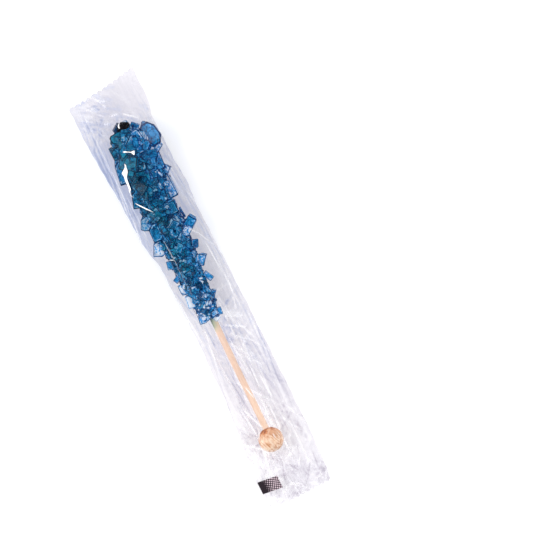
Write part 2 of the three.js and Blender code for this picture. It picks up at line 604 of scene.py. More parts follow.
@dataclass(frozen=True)
class LightTableFinish(Finish):
    """Opal acrylic over lamps: an even white that fills shadows from below."""

    name: str = "opal_acrylic_light_table"
    opal: str = "#CECED0"
    glow: str = "#FFFFFF"
    strength: float = 0.375

    def surface(self, tree: bpy.types.NodeTree) -> Any:
        """A matt white that glows evenly.

        Args:
            tree: The material's node tree.

        Returns:
            The shader that the nodes end in.
        """
        opal = {"Base Color": linear(self.opal), "Roughness": 0.9}
        glow = {"Emission Color": linear(self.glow), "Emission Strength": self.strength}
        return add_node(tree, "BsdfPrincipled", {**opal, **glow})


# ---- Where everything lies ----


class PackedWrap:
    """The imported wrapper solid, measured row by row. The film takes its outline and heights from it."""

    ROW_POINTS = 300
    CUT_DEPTH = 6.5 * MM
    LEVEL = 2e-5

    def __init__(self) -> None:
        """Reads each straight row of the solid, and the two cuts."""
        points = points_of(frame["nodes"][WRAPPER])
        self.low, self.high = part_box(WRAPPER)
        places, counts = np.unique(np.round(points[:, 1], 5), return_counts=True)
        rows = [self._row(points, y, self.LEVEL) for y in places[counts > self.ROW_POINTS]]
        first = self._row(points, self.low.y, self.CUT_DEPTH)
        last = self._row(points, self.high.y, self.CUT_DEPTH)
        self.rows = np.array([first, *rows, last])
        self.ball_seal = float(rows[0][0])
        self.candy_seal = float(rows[-1][0])

    def _row(self, points: np.ndarray, y: float, within: float) -> tuple[float, ...]:
        """One row's place along the wrap, its two side edges, their height, its crown and its floor.

        Args:
            points: The solid's vertices.
            y: The row's place.
            within: How far from it a vertex may lie.

        Returns:
            The six measures, in metres.
        """
        near = points[np.abs(points[:, 1] - y) <= within]
        left, right = near[:, 0].min(), near[:, 0].max()
        edge = near[near[:, 0] < left + self.LEVEL, 2].mean()
        return y, left, right, edge, near[:, 2].max(), near[:, 2].min()

    def measure(self, column: int, y: Values) -> Any:
        """One measure of the wrap at a place along it: 1 left, 2 right, 3 edge height, 4 crown, 5 floor."""
        return read(self.rows, y, column)


@dataclass(frozen=True)
class StickLine:
    """The stick's centre line, from its ball to its tip inside the candy. All its sizes are in metres."""

    ball: Vector
    tip: Vector
    ball_radius: float = 5.65 * MM
    stick_radius: float = 1.48 * MM
    candy_base: float = 59.2 * MM
    candy_tip: float = 158.6 * MM

    # How far the ball's centre lies from the wrap's middle and from its cut, and the ball from the ground.
    FROM_MIDDLE = -2.5 * MM
    FROM_CUT = 29.9 * MM
    SKIN = 0.45 * MM
    # The way from the ball to the tip.
    REACH = (3.16, 156.4, 3.4)

    @classmethod
    def from_wrap(cls, wrap: PackedWrap) -> "StickLine":
        """Lays the stick in the wrap: its ball rests on the lower film, and the candy lifts its tip.

        Args:
            wrap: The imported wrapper's measures.

        Returns:
            The stick's centre line and its sizes.
        """
        middle = (wrap.low.x + wrap.high.x) / 2
        ball = (middle + cls.FROM_MIDDLE, wrap.low.y + cls.FROM_CUT, wrap.low.z + cls.ball_radius + cls.SKIN)
        return cls(Vector(ball), Vector(ball) + Vector(cls.REACH) * MM)

    @property
    def direction(self) -> Vector:
        """The way from the ball to the tip."""
        return (self.tip - self.ball).normalized()

    def at(self, along: float) -> Vector:
        """The point a given way along the line from the ball's centre, in metres."""
        return self.ball + self.direction * along

    def rotation(self) -> Matrix:
        """Turns +Z onto the stick's direction, and keeps +X level.

        Returns:
            The turn, as a matrix.
        """
        ahead = self.direction
        side = ahead.cross(Vector((0, 0, 1))).normalized()
        up = side.cross(ahead)
        return Matrix((side, up, ahead)).transposed()

    def lay(self, local: np.ndarray) -> np.ndarray:
        """Turns points that stand on Z, with the ball's centre at the origin, onto the line."""
        return local @ np.array(self.rotation()).T + np.array(self.ball)


# ---- Candy ----


class CrystalShape(Enum):
    """Which master shape a crystal takes: one at random, or one cut to order, counted from the last."""

    RANDOM = 0
    TAPERED = -2
    BLUNT = -1


class CrystalCutter:
    """Cuts the master shapes of a sucrose crystal: leaning blocks with ends cut back and edges nicked."""

    SIZE = (1.0, 0.78, 0.58)
    LEAN = 0.13
    NICK = 0.022
    MERGED = 0.02
    BORDERS = (0.08, 0.05)
    # How much deeper than its crystal a vertex is coloured: the painted highlight line inside an edge, and the
    # faces' random tones.
    GLEAM = -0.30
    TONES = 0.34
    SHADING = 0.14
    # The least area of a face that gets borders.
    FACE = 0.05
    # The shapes cut to order: each plane's normal, and how near the middle it cuts.
    TAPERED = (
        *((1.0, 1.25, 0.05, 0.70), (1.0, -0.75, -0.1, 0.80)),
        *((-1.0, 1.15, 0.05, 0.70), (-1.0, -0.8, 0.1, 0.80)),
    )
    BLUNT = ((1.0, 0.9, 0.2, 0.88), (-1.0, -0.7, 0.3, 0.90))

    def __init__(self, shapes: int, cuts: int, borders: int, seed: int) -> None:
        """Cuts the random shapes, and then those cut to order.

        Args:
            shapes: The number of random shapes.
            cuts: Planes cut off each block.
            borders: How many borders each face gets: painted shade along its edges, and a painted highlight
                line within.
            seed: Sets the random angles.
        """
        self.cuts = cuts
        self.borders = borders
        self.random = np.random.default_rng(seed)
        self.shades = np.random.default_rng(seed + 100)
        self.shapes = shapes
        self.masters = [self._cut() for _ in range(shapes)]
        self.masters += [self._cut(self.TAPERED), self._cut(self.BLUNT)]
        LOG.info("crystal shapes: %s faces", [len(faces) for _, faces, _ in self.masters])

    def _planes(self) -> list[tuple[Vector, float]]:
        """Draws the planes that cut a block's ends back at random.

        Returns:
            Each plane's normal, and how near the middle it cuts.
        """
        planes = []
        for cut in range(self.cuts):
            end = 1 if cut % 2 else -1
            normal = Vector((end, self.random.uniform(-1.2, 1.2), self.random.uniform(-0.7, 0.7)))
            planes.append((normal, self.random.uniform(0.68, 0.88)))
        return planes

    def _cut(
        self, ordered: tuple[tuple[float, ...], ...] = ()
    ) -> tuple[np.ndarray, list[tuple[int, ...]], np.ndarray]:
        """Models one block and takes its mesh.

        Args:
            ordered: The cutting planes. Without any, they are drawn at random.

        Returns:
            Its vertices, its faces, and how much deeper each vertex is coloured: painted shade at the edges, a
            painted highlight within them, and random tones inside.
        """
        deselect()
        bpy.ops.mesh.primitive_cube_add(size=1.0)
        block = bpy.context.object
        select_vertices(block, points_of(block)[:, 2] > 0)
        lean = self.LEAN * self.random.uniform(0.4, 1.3)
        with editing(whole=False):
            bpy.ops.transform.translate(value=(lean, 0.0, 0.0))
            bpy.ops.mesh.select_all(action="SELECT")
            bpy.ops.transform.resize(value=self.SIZE)
            for normal, share in [(Vector(plane[:3]), plane[3]) for plane in ordered] or self._planes():
                normal.normalize()
                place = normal * sum(abs(n) * s / 2 for n, s in zip(normal, self.SIZE)) * share
                bpy.ops.mesh.select_all(action="SELECT")
                bpy.ops.mesh.bisect(plane_co=place, plane_no=normal, use_fill=True, clear_outer=True)
            bpy.ops.mesh.select_all(action="SELECT")
            bpy.ops.mesh.remove_doubles(threshold=self.MERGED)
            bpy.ops.mesh.bevel(offset=self.NICK, segments=1, affect="EDGES", clamp_overlap=True)
            bpy.ops.mesh.select_all(action="SELECT")
            bpy.ops.mesh.normals_make_consistent(inside=False)
        with editing(whole=False):
            bpy.ops.mesh.select_mode(type="FACE")
            bpy.ops.mesh.select_all(action="DESELECT")
        for face in block.data.polygons:
            face.select = face.area > self.FACE
        counts = [len(block.data.vertices)]
        with editing(whole=False):
            for width in self.BORDERS[: self.borders]:
                bpy.ops.mesh.inset(thickness=width, use_individual=True, use_even_offset=False)
                block.update_from_editmode()
                counts.append(len(block.data.vertices))
            bpy.ops.mesh.select_mode(type="VERT")
        points = points_of(block)
        faces = [tuple(face.vertices) for face in block.data.polygons]
        # Painted shade on the outer edges, a painted highlight on the first border within them, and random
        # tones on the inner faces.
        painted_rims = np.full(len(points), self.GLEAM)
        painted_rims[: counts[0]] = 1.0
        for face in faces:
            if min(face) >= counts[-2]:
                corners = list(face)
                painted_rims[corners] = self.random.uniform(-self.TONES, self.TONES)
                painted_rims[corners] += self.shades.normal(0.0, self.SHADING, len(corners))
        bpy.data.objects.remove(block)
        return points - points.mean(0), faces, painted_rims


@dataclass(frozen=True)
class Landmark:
    """A large crystal that stands out of the candy's outline.

    along and side place its middle, in millimetres from the ball and from the stick's line, to the right if
    positive. long and wide are its size as seen from above, deep its size away from the eye, turn its angle
    in degrees, and height how far its middle lies above the stick's line. dye is its share of dye, and below
    0 where it is nearly clear.
    """

    along: float
    side: float
    long: float
    wide: float
    deep: float
    turn: float
    height: float
    dye: float
    shape: CrystalShape = CrystalShape.RANDOM


@dataclass(frozen=True)
class Layer:
    """One sowing of crystals: their size beside the candy's own, how they crowd, and how deep they sit."""

    size: float
    crowding: float
    depth: float
    tries: int


class CrystalBatch:
    """Crystals of one kind, gathered so that they become one mesh."""

    # The least height of a crystal above the ground, because the film lies under it.
    CLEAR = 0.5 * MM

    def __init__(self, cutter: CrystalCutter) -> None:
        """Starts an empty batch of crystals that take their shapes from one cutter.

        Args:
            cutter: Gives the crystals' master shapes.
        """
        self.cutter = cutter
        self.points: list[np.ndarray] = []
        self.faces: list[tuple[int, ...]] = []
        self.paints: dict[str, list[np.ndarray]] = {"dye": [], "teal": [], "painted_rim": []}
        self.total = 0

    def add(
        self, shape: int, centre: np.ndarray, axes: np.ndarray, size: np.ndarray, dye: float, teal: float
    ) -> None:
        """Adds one crystal, lifted clear of the ground.

        Args:
            shape: Which of the cutter's shapes it takes.
            centre: Its middle, in metres.
            axes: Its long, wide and deep directions as columns.
            size: Its three sizes, in metres.
            dye: Its share of dye, from 0 to 1.
            teal: How far its blue turns to teal, from 0 to 1.
        """
        points, faces, painted_rims = self.cutter.masters[shape]
        placed = (points / np.array(self.cutter.SIZE) * size) @ axes.T + centre
        placed[:, 2] += max(self.CLEAR - placed[:, 2].min(), 0.0)
        self.points.append(placed)
        self.faces.extend(tuple(self.total + v for v in face) for face in faces)
        self.total += len(placed)
        for name, value in (("dye", dye), ("teal", teal), ("painted_rim", painted_rims)):
            self.paints[name].append(np.full(len(placed), value))

    def piece(self, name: str, material: bpy.types.Material) -> bpy.types.Object:
        """Makes the batch one dressed piece.

        Args:
            name: The piece's name.
            material: The sugar.

        Returns:
            The piece.
        """
        mesh = bpy.data.meshes.new(name)
        mesh.from_pydata(np.concatenate(self.points).tolist(), [], self.faces)
        piece = bpy.data.objects.new(name, mesh)
        note_values(piece, **{paint: np.concatenate(values) for paint, values in self.paints.items()})
        mesh.update()
        bpy.context.scene.collection.objects.link(piece)
        return finish_piece(piece, name, material)


class CandyCrust:
    """The sugar crystals, from large blocks near the tip to a fine crust at the base, in two batches."""

    # Every table starts with the millimetres from the ball's centre. How far the candy reaches left, right
    # and up from the stick's line:
    PROFILE = np.array(
        [
            *((59.5, 4.6, 3.4, 4.4), (64.0, 5.0, 3.8, 5.0), (74.0, 6.0, 4.6, 5.8), (82.0, 6.2, 5.0, 6.2)),
            *((92.0, 6.2, 6.2, 6.8), (106.0, 8.0, 6.8, 7.4), (118.0, 8.2, 7.0, 7.8), (122.0, 7.8, 8.8, 8.2)),
            *((130.0, 8.0, 9.4, 8.6), (138.0, 8.2, 9.8, 8.8), (147.0, 7.8, 9.0, 8.6), (151.0, 5.2, 6.6, 7.4)),
            *((154.0, 3.2, 3.6, 5.2), (158.5, 0.8, 0.8, 1.6)),
        ]
    )
    # How much deeper the crystals are dyed, how far they turn to teal, how large they are in millimetres, and
    # how much their dye varies:
    DEPTHS = np.array([(59, 0.0), (66, 0.06), (75, 0.18), (95, 0.27), (138, 0.29), (148, 0.05), (159, 0.1)])
    TEALS = np.array([(59, 0.2), (80, 0.7), (95, 0.85), (140, 1.1), (155, 0.8)])
    SIZES = np.array(
        [(59, 3.4), (70, 4.0), (85, 4.6), (100, 5.6), (115, 7.0), (135, 8.0), (148, 7.0), (156, 5.0)]
    )
    SPREADS = np.array([(59, 0.32), (72, 0.28), (85, 0.19), (150, 0.17)])
    LAYERS = (Layer(1.0, 0.62, 0.34, 3000), Layer(0.66, 0.60, 0.26, 4200), Layer(0.42, 0.54, 0.20, 9000))
    LANDMARKS = (
        Landmark(147.4, 10.9, 11.4, 7.4, 4.6, -10.0, 1.4, 0.73, CrystalShape.TAPERED),
        Landmark(140.6, 10.0, 5.2, 4.2, 4.0, 50.0, 0.5, 0.35),
        Landmark(145.6, -6.8, 5.6, 5.4, 5.0, -12.0, 1.5, 0.60),
        Landmark(137.2, -8.2, 12.0, 4.4, 4.5, 8.0, 0.0, 0.42),
        Landmark(129.6, 9.2, 4.8, 4.6, 4.0, 45.0, 0.5, 0.40),
        Landmark(134.0, 7.8, 8.4, 5.0, 5.0, 8.0, 1.0, 0.35),
        Landmark(123.3, 8.2, 11.2, 4.4, 5.0, -3.0, 0.5, 0.18, CrystalShape.BLUNT),
        Landmark(123.0, -6.2, 9.2, 6.4, 5.5, 10.0, 2.0, 0.50),
        Landmark(111.2, -8.6, 6.8, 4.8, 4.6, 25.0, 1.0, 0.24),
        Landmark(106.2, -5.8, 8.4, 5.0, 5.0, 5.0, 3.6, 0.46),
        Landmark(98.8, -8.0, 7.6, 5.2, 4.5, 12.0, 0.6, -0.02),
        Landmark(109.2, 8.2, 5.2, 1.0, 1.6, 0.0, 0.5, 0.60),
        Landmark(102.8, 9.0, 8.6, 4.4, 4.4, 64.0, 1.5, 0.48, CrystalShape.BLUNT),
        Landmark(101.0, 6.2, 5.0, 3.6, 4.0, 60.0, 3.5, 0.16),
        Landmark(94.0, 7.0, 4.2, 3.2, 3.0, 20.0, 0.5, 0.45),
        Landmark(90.0, -7.0, 3.8, 2.8, 3.0, 10.0, 0.5, 0.20),
        Landmark(86.4, 6.5, 5.0, 4.6, 3.5, 45.0, 0.5, 0.38),
        Landmark(82.5, -7.2, 2.8, 2.4, 2.6, 60.0, 0.5, 0.55),
        Landmark(78.2, 6.4, 4.8, 2.5, 3.0, -35.0, 0.5, 0.28),
        Landmark(77.4, -6.0, 5.2, 4.2, 3.6, 0.0, 0.5, 0.06),
        Landmark(71.2, -5.7, 5.8, 3.8, 3.2, 4.0, 1.8, -0.45),
        Landmark(78.6, -5.2, 2.8, 1.9, 2.0, 30.0, 2.4, -0.40),
        Landmark(76.6, -1.6, 2.0, 1.3, 1.6, 70.0, 5.3, -0.10),
        Landmark(76.8, 2.3, 2.2, 1.4, 1.6, 50.0, 4.9, -0.20),
        Landmark(62.1, -3.4, 2.6, 1.8, 1.8, 80.0, 3.2, -0.20),
        Landmark(62.1, 1.9, 3.0, 1.9, 1.8, 75.0, 4.0, -0.10),
        Landmark(67.6, 0.6, 2.0, 1.4, 1.6, 10.0, 5.2, -0.05),
        Landmark(70.0, 4.6, 4.4, 2.4, 3.0, 30.0, 0.5, 0.45),
        Landmark(61.6, -4.3, 4.0, 3.8, 3.4, 5.0, 1.0, 0.14),
        Landmark(62.1, 3.3, 3.6, 3.4, 3.0, 10.0, 1.0, 0.20),
        Landmark(155.5, -1.6, 4.4, 3.0, 4.0, 55.0, 3.4, 1.15),
        Landmark(151.5, -1.7, 9.2, 5.0, 4.0, 86.0, 3.2, 0.34, CrystalShape.TAPERED),
        Landmark(152.8, 5.4, 4.4, 3.4, 3.6, -30.0, 1.6, 0.50),
        Landmark(149.6, 3.8, 6.4, 5.0, 4.0, 70.0, 4.6, 0.16),
        Landmark(59.6, 1.5, 2.8, 2.2, 2.4, 60.0, 1.8, -0.8),
    )
    # The mean dye, its least share in a sown crystal, and how much less there is on the candy's right side.
    DYE = 0.40
    LEAST_DYE = 0.06
    LESS_DYE = 0.09
    # How far a crystal's teal varies, and how much less of it there is for each millimetre from the line.
    TEAL_SPREAD = 0.22
    LESS_TEAL = 0.12
    # How far inside the candy's ends crystals are sown, in millimetres, and how near the line they may come.
    FROM_ENDS = (1.8, 5.0)
    NEAREST = 0.5
    # How far above the ground the candy ends below, in millimetres.
    OFF_GROUND = 0.7
    # A crystal's three sizes beside each other, and how it tilts.
    SHARES = (1.0, 0.72, 0.6)
    SOWN_TILT = 0.28
    SET_TILT = 0.12
    # A tapered landmark lies flatter than the others.
    TAPERED_TILT = 0.25

    def __init__(self, line: StickLine, coarse: CrystalCutter, fine: CrystalCutter, seed: int) -> None:
        """Plans the crystals.

        Args:
            line: The stick's centre line.
            coarse: The large crystals' master shapes.
            fine: The small ones' master shapes.
            seed: Sets the sowing.
        """
        self.line = line
        self.coarse = CrystalBatch(coarse)
        self.fine = CrystalBatch(fine)
        self.random = np.random.default_rng(seed)
        self.middles = np.zeros((0, 4))

    def reach(self, along: Values, angle: Values) -> Any:
        """How far the candy reaches from the stick's line, in millimetres.

        Args:
            along: Millimetres from the ball's centre.
            angle: Round the stick, from the right at 0 over the top.

        Returns:
            The reach in that direction.
        """
        left, right, up = [read(self.PROFILE, along, column) for column in (1, 2, 3)]
        height = (self.line.at(0).z + self.line.direction.z * along * MM) / MM
        down = np.minimum(up, height - self.OFF_GROUND)
        across, over = np.cos(angle), np.sin(angle)
        return np.where(across > 0, right, left) * across**2 + np.where(over > 0, up, down) * over**2

    def _place(
        self,
        batch: CrystalBatch,
        centre: Any,
        axes: Matrix,
        size: tuple[float, ...],
        dye: float,
        ordered: CrystalShape = CrystalShape.RANDOM,
    ) -> None:
        """Adds one crystal, and notes where it is.

        Args:
            batch: The batch that takes it.
            centre: Its middle, in metres.
            axes: Its long, wide and deep directions as columns.
            size: Its three sizes, in millimetres.
            dye: Its share of dye, from 0 to 1, and less than 0 where it is nearly clear.
            ordered: Which of the master shapes it takes.
        """
        shape = int(self.random.integers(batch.cutter.shapes))
        across, along = (np.array(centre)[:2] - np.array(self.line.at(0))[:2]) / MM
        teal = read(self.TEALS, along) - abs(across) * self.LESS_TEAL
        teal += self.random.normal(0.0, self.TEAL_SPREAD)
        teal = np.clip(teal, 0.0, 1.0) * smooth(dye / 0.25)
        batch.add(ordered.value or shape, np.array(centre), np.array(axes), np.array(size) * MM, dye, teal)
        self.middles = np.vstack([self.middles, [*centre, sum(size[:2]) / 2]])

    def _sow(self, layer: Layer, batch: CrystalBatch) -> None:
        """Sows one layer of crystals over the candy, each clear of the middles of those already there.

        Args:
            layer: How its crystals lie.
            batch: The batch that takes them.
        """
        basis = np.array(self.line.rotation())
        for _ in range(layer.tries):
            base = self.line.candy_base / MM + self.FROM_ENDS[0]
            tip = self.line.candy_tip / MM - self.FROM_ENDS[1]
            along = self.random.uniform(base, tip)
            angle = self.random.uniform(-math.pi, math.pi)
            size = layer.size * read(self.SIZES, along) * self.random.uniform(0.8, 1.2)
            reach = self.reach(along, angle)
            radius = max(reach - size * layer.depth * self.random.uniform(0.8, 1.5), self.NEAREST)
            outward = basis @ np.array((math.cos(angle), math.sin(angle), 0.0))
            centre = np.array(self.line.at(along * MM)) + outward * radius * MM
            apart = layer.crowding * (size + self.middles[:, 3]) / 2 * MM
            if (np.linalg.norm(self.middles[:, :3] - centre, axis=1) < apart).any():
                continue
            stretch = self.random.uniform(0.9, 1.5)
            tilt = Vector(self.random.normal(0.0, self.SOWN_TILT, 3))
            deep = (Vector(outward) + tilt).normalized()
            long = Vector(self.random.normal(0.0, 1.0, 3)).cross(deep).normalized()
            axes = Matrix((long, deep.cross(long), deep)).transposed()
            widen = self.random.uniform(0.8, 1.15)
            sizes = (size * stretch, size * self.SHARES[1] * widen, size * self.SHARES[2])
            deeper = read(self.DEPTHS, along) - self.LESS_DYE * smooth((reach * math.cos(angle) - 3) / 4)
            dye = self.random.normal(self.DYE, read(self.SPREADS, along)) + deeper
            self._place(batch, centre, axes, sizes, float(np.clip(dye, self.LEAST_DYE, 1.0)))

    def _set_landmarks(self) -> None:
        """Sets the crystals that make the candy's outline, flat faces up."""
        side, up, ahead = self.line.rotation().col
        for mark in self.LANDMARKS:
            centre = self.line.at(mark.along * MM) + (side * mark.side + up * mark.height) * MM
            turn = math.radians(mark.turn)
            long = ahead * math.cos(turn) + side * math.sin(turn)
            wide = side * math.cos(turn) - ahead * math.sin(turn)
            axes = Matrix((long, wide, long.cross(wide))).transposed()
            level = self.TAPERED_TILT if mark.shape is CrystalShape.TAPERED else 1.0
            tilt = Euler(self.random.normal(0.0, self.SET_TILT, 3) * level).to_matrix()
            size = (mark.long, mark.wide, mark.deep)
            self._place(self.coarse, centre, tilt @ axes, size, mark.dye, mark.shape)

    def build(self, finish: SugarFinish) -> list[bpy.types.Object]:
        """Grows the crust.

        Args:
            finish: The sugar's finish.

        Returns:
            The coarse crystals and the fine ones, each kind as one piece.
        """
        self._set_landmarks()
        for layer, batch in zip(self.LAYERS, (self.coarse, self.coarse, self.fine)):
            self._sow(layer, batch)
        LOG.info("crystals: %d", len(self.middles))
        material = finish.material()
        return [self.coarse.piece("sugar_crystals", material), self.fine.piece("sugar_crust", material)]


@dataclass(frozen=True)
class CandyCore:
    """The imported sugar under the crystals, lumpy and about two thirds of their reach."""

    share: float = 0.68
    lump: float = 0.5 * MM
    sides: int = 40
    rings: int = 110
    # How far its ends lie inside the candy's, and how sharply they close.
    inside: tuple[float, float] = (1.2 * MM, 3.6 * MM)
    roundness: int = 14
    end: float = 0.35

    def build(self, line: StickLine, crust: CandyCrust, finish: CoreFinish) -> bpy.types.Object:
        """Turns a cylinder on the stick's line and swells it to a share of the crust's reach.

        Args:
            line: The stick's centre line.
            crust: Gives the candy's reach.
            finish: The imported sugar's finish.

        Returns:
            The core.
        """
        base, tip = line.candy_base + self.inside[0], line.candy_tip - self.inside[1]
        core = ringed_cylinder(self.sides, self.rings, 1.0, "TRIFAN")
        points = points_of(core)
        share = points[:, 2] + 0.5
        angle = np.arctan2(points[:, 1], points[:, 0])
        along = base + (tip - base) * share
        closing = np.sqrt(np.clip(1 - np.abs(2 * share - 1) ** self.roundness, 0.0, 1.0))
        reach = crust.reach(along / MM, angle) * MM * self.share * (self.end + (1 - self.end) * closing)
        wave = np.sin(7 * angle + along / MM * 0.9) * np.cos(along / MM * 1.7 + 3 * angle)
        reach = (reach + self.lump * wave) * np.hypot(points[:, 0], points[:, 1])
        move_points(core, line.lay(np.stack([np.cos(angle) * reach, np.sin(angle) * reach, along], 1)))
        bpy.ops.object.shade_smooth()
        return finish_piece(core, "sugar_core", finish.material())


# ---- Wood ----


@dataclass(frozen=True)
class WoodenStick:
    """A round birch stick: its ends are eased, and it is stained where it enters the candy."""

    sides: int = 28
    rings: int = 90
    ease: float = 0.3 * MM
    eased: float = 0.2
    wander: float = 0.07 * MM
    # How deep it stands in the ball, as a share of its radius, and how far it ends short of the candy's tip.
    in_ball: float = 0.35
    short: float = 3.2 * MM

    def build(self, line: StickLine, finish: BirchFinish) -> bpy.types.Object:
        """Turns the stick from inside the ball to its tip.

        Args:
            line: The stick's centre line.
            finish: The birch.

        Returns:
            The stick.
        """
        start, end = line.ball_radius * self.in_ball, line.candy_tip - self.short
        stick = ringed_cylinder(self.sides, self.rings, line.stick_radius)
        points = points_of(stick)
        along = start + (end - start) * (points[:, 2] + 0.5)
        nearest = np.minimum(along - start, end - along)
        narrowed = 1 - self.eased * (1 - smooth(nearest / self.ease))
        sway = self.wander * np.sin(along / MM * 0.11 + 0.6)
        local = np.stack([points[:, 0] * narrowed + sway, points[:, 1] * narrowed, along], 1)
        move_points(stick, line.lay(local))
        near = smooth((along - line.candy_base + 6.4 * MM) / (4.4 * MM))
        deep = smooth((along - line.candy_base + 2 * MM) / (5 * MM))
        side = 0.75 - 0.55 * points[:, 0] / line.stick_radius
        note_values(stick, stain=np.clip((0.6 * near + 0.4 * deep) * side, 0.0, 1.0))
        bpy.ops.object.shade_smooth()
        return finish_piece(stick, "wooden_stick", finish.material())


@dataclass(frozen=True)
class WoodenBall:
    """The turned ball on the stick's end: bored for the stick, with a small flat left by the lathe."""

    rings: int = 40
    segments: int = 56
    dimple: float = 0.5 * MM
    mouth: float = 1.12
    lathe_flat: float = 0.965
    uneven: float = 0.006
    back: float = 0.5 * MM

    def build(self, line: StickLine, finish: BirchFinish) -> bpy.types.Object:
        """Turns the ball, bores its top and flattens its far end.

        Args:
            line: The stick's centre line.
            finish: The wood.

        Returns:
            The ball.
        """
        radius = line.ball_radius
        deselect()
        bpy.ops.mesh.primitive_uv_sphere_add(segments=self.segments, ring_count=self.rings, radius=radius)
        ball = bpy.context.object
        points = points_of(ball)
        top = np.hypot(points[:, 0], points[:, 1]) < line.stick_radius * self.mouth
        select_vertices(ball, top & (points[:, 2] > 0))
        with editing(whole=False):
            bpy.ops.mesh.extrude_region_move(TRANSFORM_OT_translate={"value": (0.0, 0.0, -self.dimple)})
            bpy.ops.mesh.select_all(action="SELECT")
            bpy.ops.mesh.normals_make_consistent(inside=False)
        points = points_of(ball)
        points[:, 2] = np.maximum(points[:, 2], -radius * self.lathe_flat)
        angle = np.arctan2(points[:, 1], points[:, 0])
        points *= (1 + self.uneven * np.sin(3 * angle) * np.cos(points[:, 2] / radius * 2.0))[:, None]
        # Painted shade round the ball's outline as seen from above, and darker at a spot by the stick's hole
        # and towards the stick.
        across, ahead = points[:, 0] / radius, points[:, 2] / radius
        painted_rim = smooth((np.hypot(across, ahead) - 0.84) / 0.12) * smooth((ahead + 0.15) / 0.6)
        spot = np.exp(-(((across + 0.18) / 0.16) ** 2) - ((ahead - 0.78) / 0.15) ** 2)
        stain = 0.40 * painted_rim + 0.5 * spot + 0.30 * smooth((ahead - 0.1) / 0.7)
        note_values(ball, stain=np.clip(stain, 0.0, 1.0))
        points[:, 2] -= self.back
        move_points(ball, line.lay(points))
        bpy.ops.object.shade_smooth()
        return finish_piece(ball, "wooden_ball", finish.material())


@dataclass(frozen=True)
class DarkTip:
    """The lump of syrup that dried nearly black on the stick's tip. Sizes are in millimetres."""

    size: tuple[float, float, float] = (6.8, 5.4, 5.0)
    along: float = 154.9
    side: float = 0.9
    turn: float = -30.0
    height: float = 4.2
    facets: float = 0.36
    cuts: int = 9
    seed: int = 8

    def build(self, line: StickLine, finish: SyrupFinish) -> bpy.types.Object:
        """Shapes the lump and cuts flats on it.

        Args:
            line: The stick's centre line.
            finish: The dried syrup.

        Returns:
            The lump.
        """
        deselect()
        bpy.ops.mesh.primitive_ico_sphere_add(subdivisions=3, radius=0.5)
        lump = bpy.context.object
        random = np.random.default_rng(self.seed)
        with editing(whole=False):
            for _ in range(self.cuts):
                normal = Vector(random.normal(0.0, 1.0, 3)).normalized()
                place = normal * self.facets
                bpy.ops.mesh.select_all(action="SELECT")
                bpy.ops.mesh.bisect(plane_co=place, plane_no=normal, use_fill=True, clear_outer=True)
            bpy.ops.mesh.select_all(action="SELECT")
            bpy.ops.mesh.normals_make_consistent(inside=False)
        side, up, ahead = line.rotation().col
        centre = line.at(self.along * MM) + (side * self.side + up * self.height) * MM
        points = points_of(lump) * np.array(self.size) * MM
        turned = Matrix.Rotation(math.radians(self.turn), 3, -up)
        axes = np.array((turned @ side, turned @ ahead, -up))
        move_points(lump, points @ axes + np.array(centre))
        return finish_piece(lump, "dark_tip", finish.material())


# ---- Film ----


@dataclass(frozen=True)
class Crease:
    """One straight fold in the film, from start to end: it stands height off it, and width is its half width.

    white is how strongly a painted highlight lies on its crest, from 0 to 1, and if less than 0 how strongly a
    painted shade makes it denser.
    """

    start: tuple[float, float]
    end: tuple[float, float]
    width: float
    height: float
    white: float = 0.0

    def crest(self, x: np.ndarray, y: np.ndarray, sharp: float = 1.0) -> np.ndarray:
        """How near each point is to the fold's crest, from 0 at its foot to 1. Both ends run to a point.

        Args:
            x: The points' places across the wrap.
            y: Their places along it.
            sharp: How steeply it rises to a flat crest.

        Returns:
            The nearness of each point.
        """
        ax, ay = self.start
        bx, by = self.end
        length = math.hypot(bx - ax, by - ay)
        ux, uy = (bx - ax) / length, (by - ay) / length
        along = ((x - ax) * ux + (y - ay) * uy) / length
        off = np.abs((x - ax) * uy - (y - ay) * ux)
        reach = self.width * np.sqrt(np.clip(4 * along * (1 - along), 0.0, 1.0)) + 1e-9
        return np.clip((1 - off / reach) * sharp, 0.0, 1.0) * (along > 0) * (along < 1)


@dataclass(frozen=True)
class Flat:
    """A small flat of stretched film with a painted highlight of a lamp on it, or a painted shade that makes
    it denser if white is less than 0.

    corners are its convex outline, counter-clockwise, in millimetres from the middle of the wrap.
    """

    white: float
    corners: tuple[tuple[float, float], ...]
    EASE = 0.26

    def cover(self, x: np.ndarray, y: np.ndarray) -> np.ndarray:
        """How far inside the outline each point lies: 0 outside and 1 inside, with a soft border.

        Args:
            x: The points' places across the wrap, in millimetres.
            y: Their places along it.

        Returns:
            The share of each point.
        """
        inside = np.full(x.shape, np.inf)
        for (ax, ay), (bx, by) in zip(self.corners, self.corners[1:] + self.corners[:1]):
            length = math.hypot(bx - ax, by - ay)
            inside = np.minimum(inside, ((bx - ax) * (y - ay) - (by - ay) * (x - ax)) / length)
        return smooth(inside / self.EASE + 0.15)


class Fan(Enum):
    """Which way a patch's creases run."""

    PARALLEL = "parallel"
    GATHERED = "gathered"


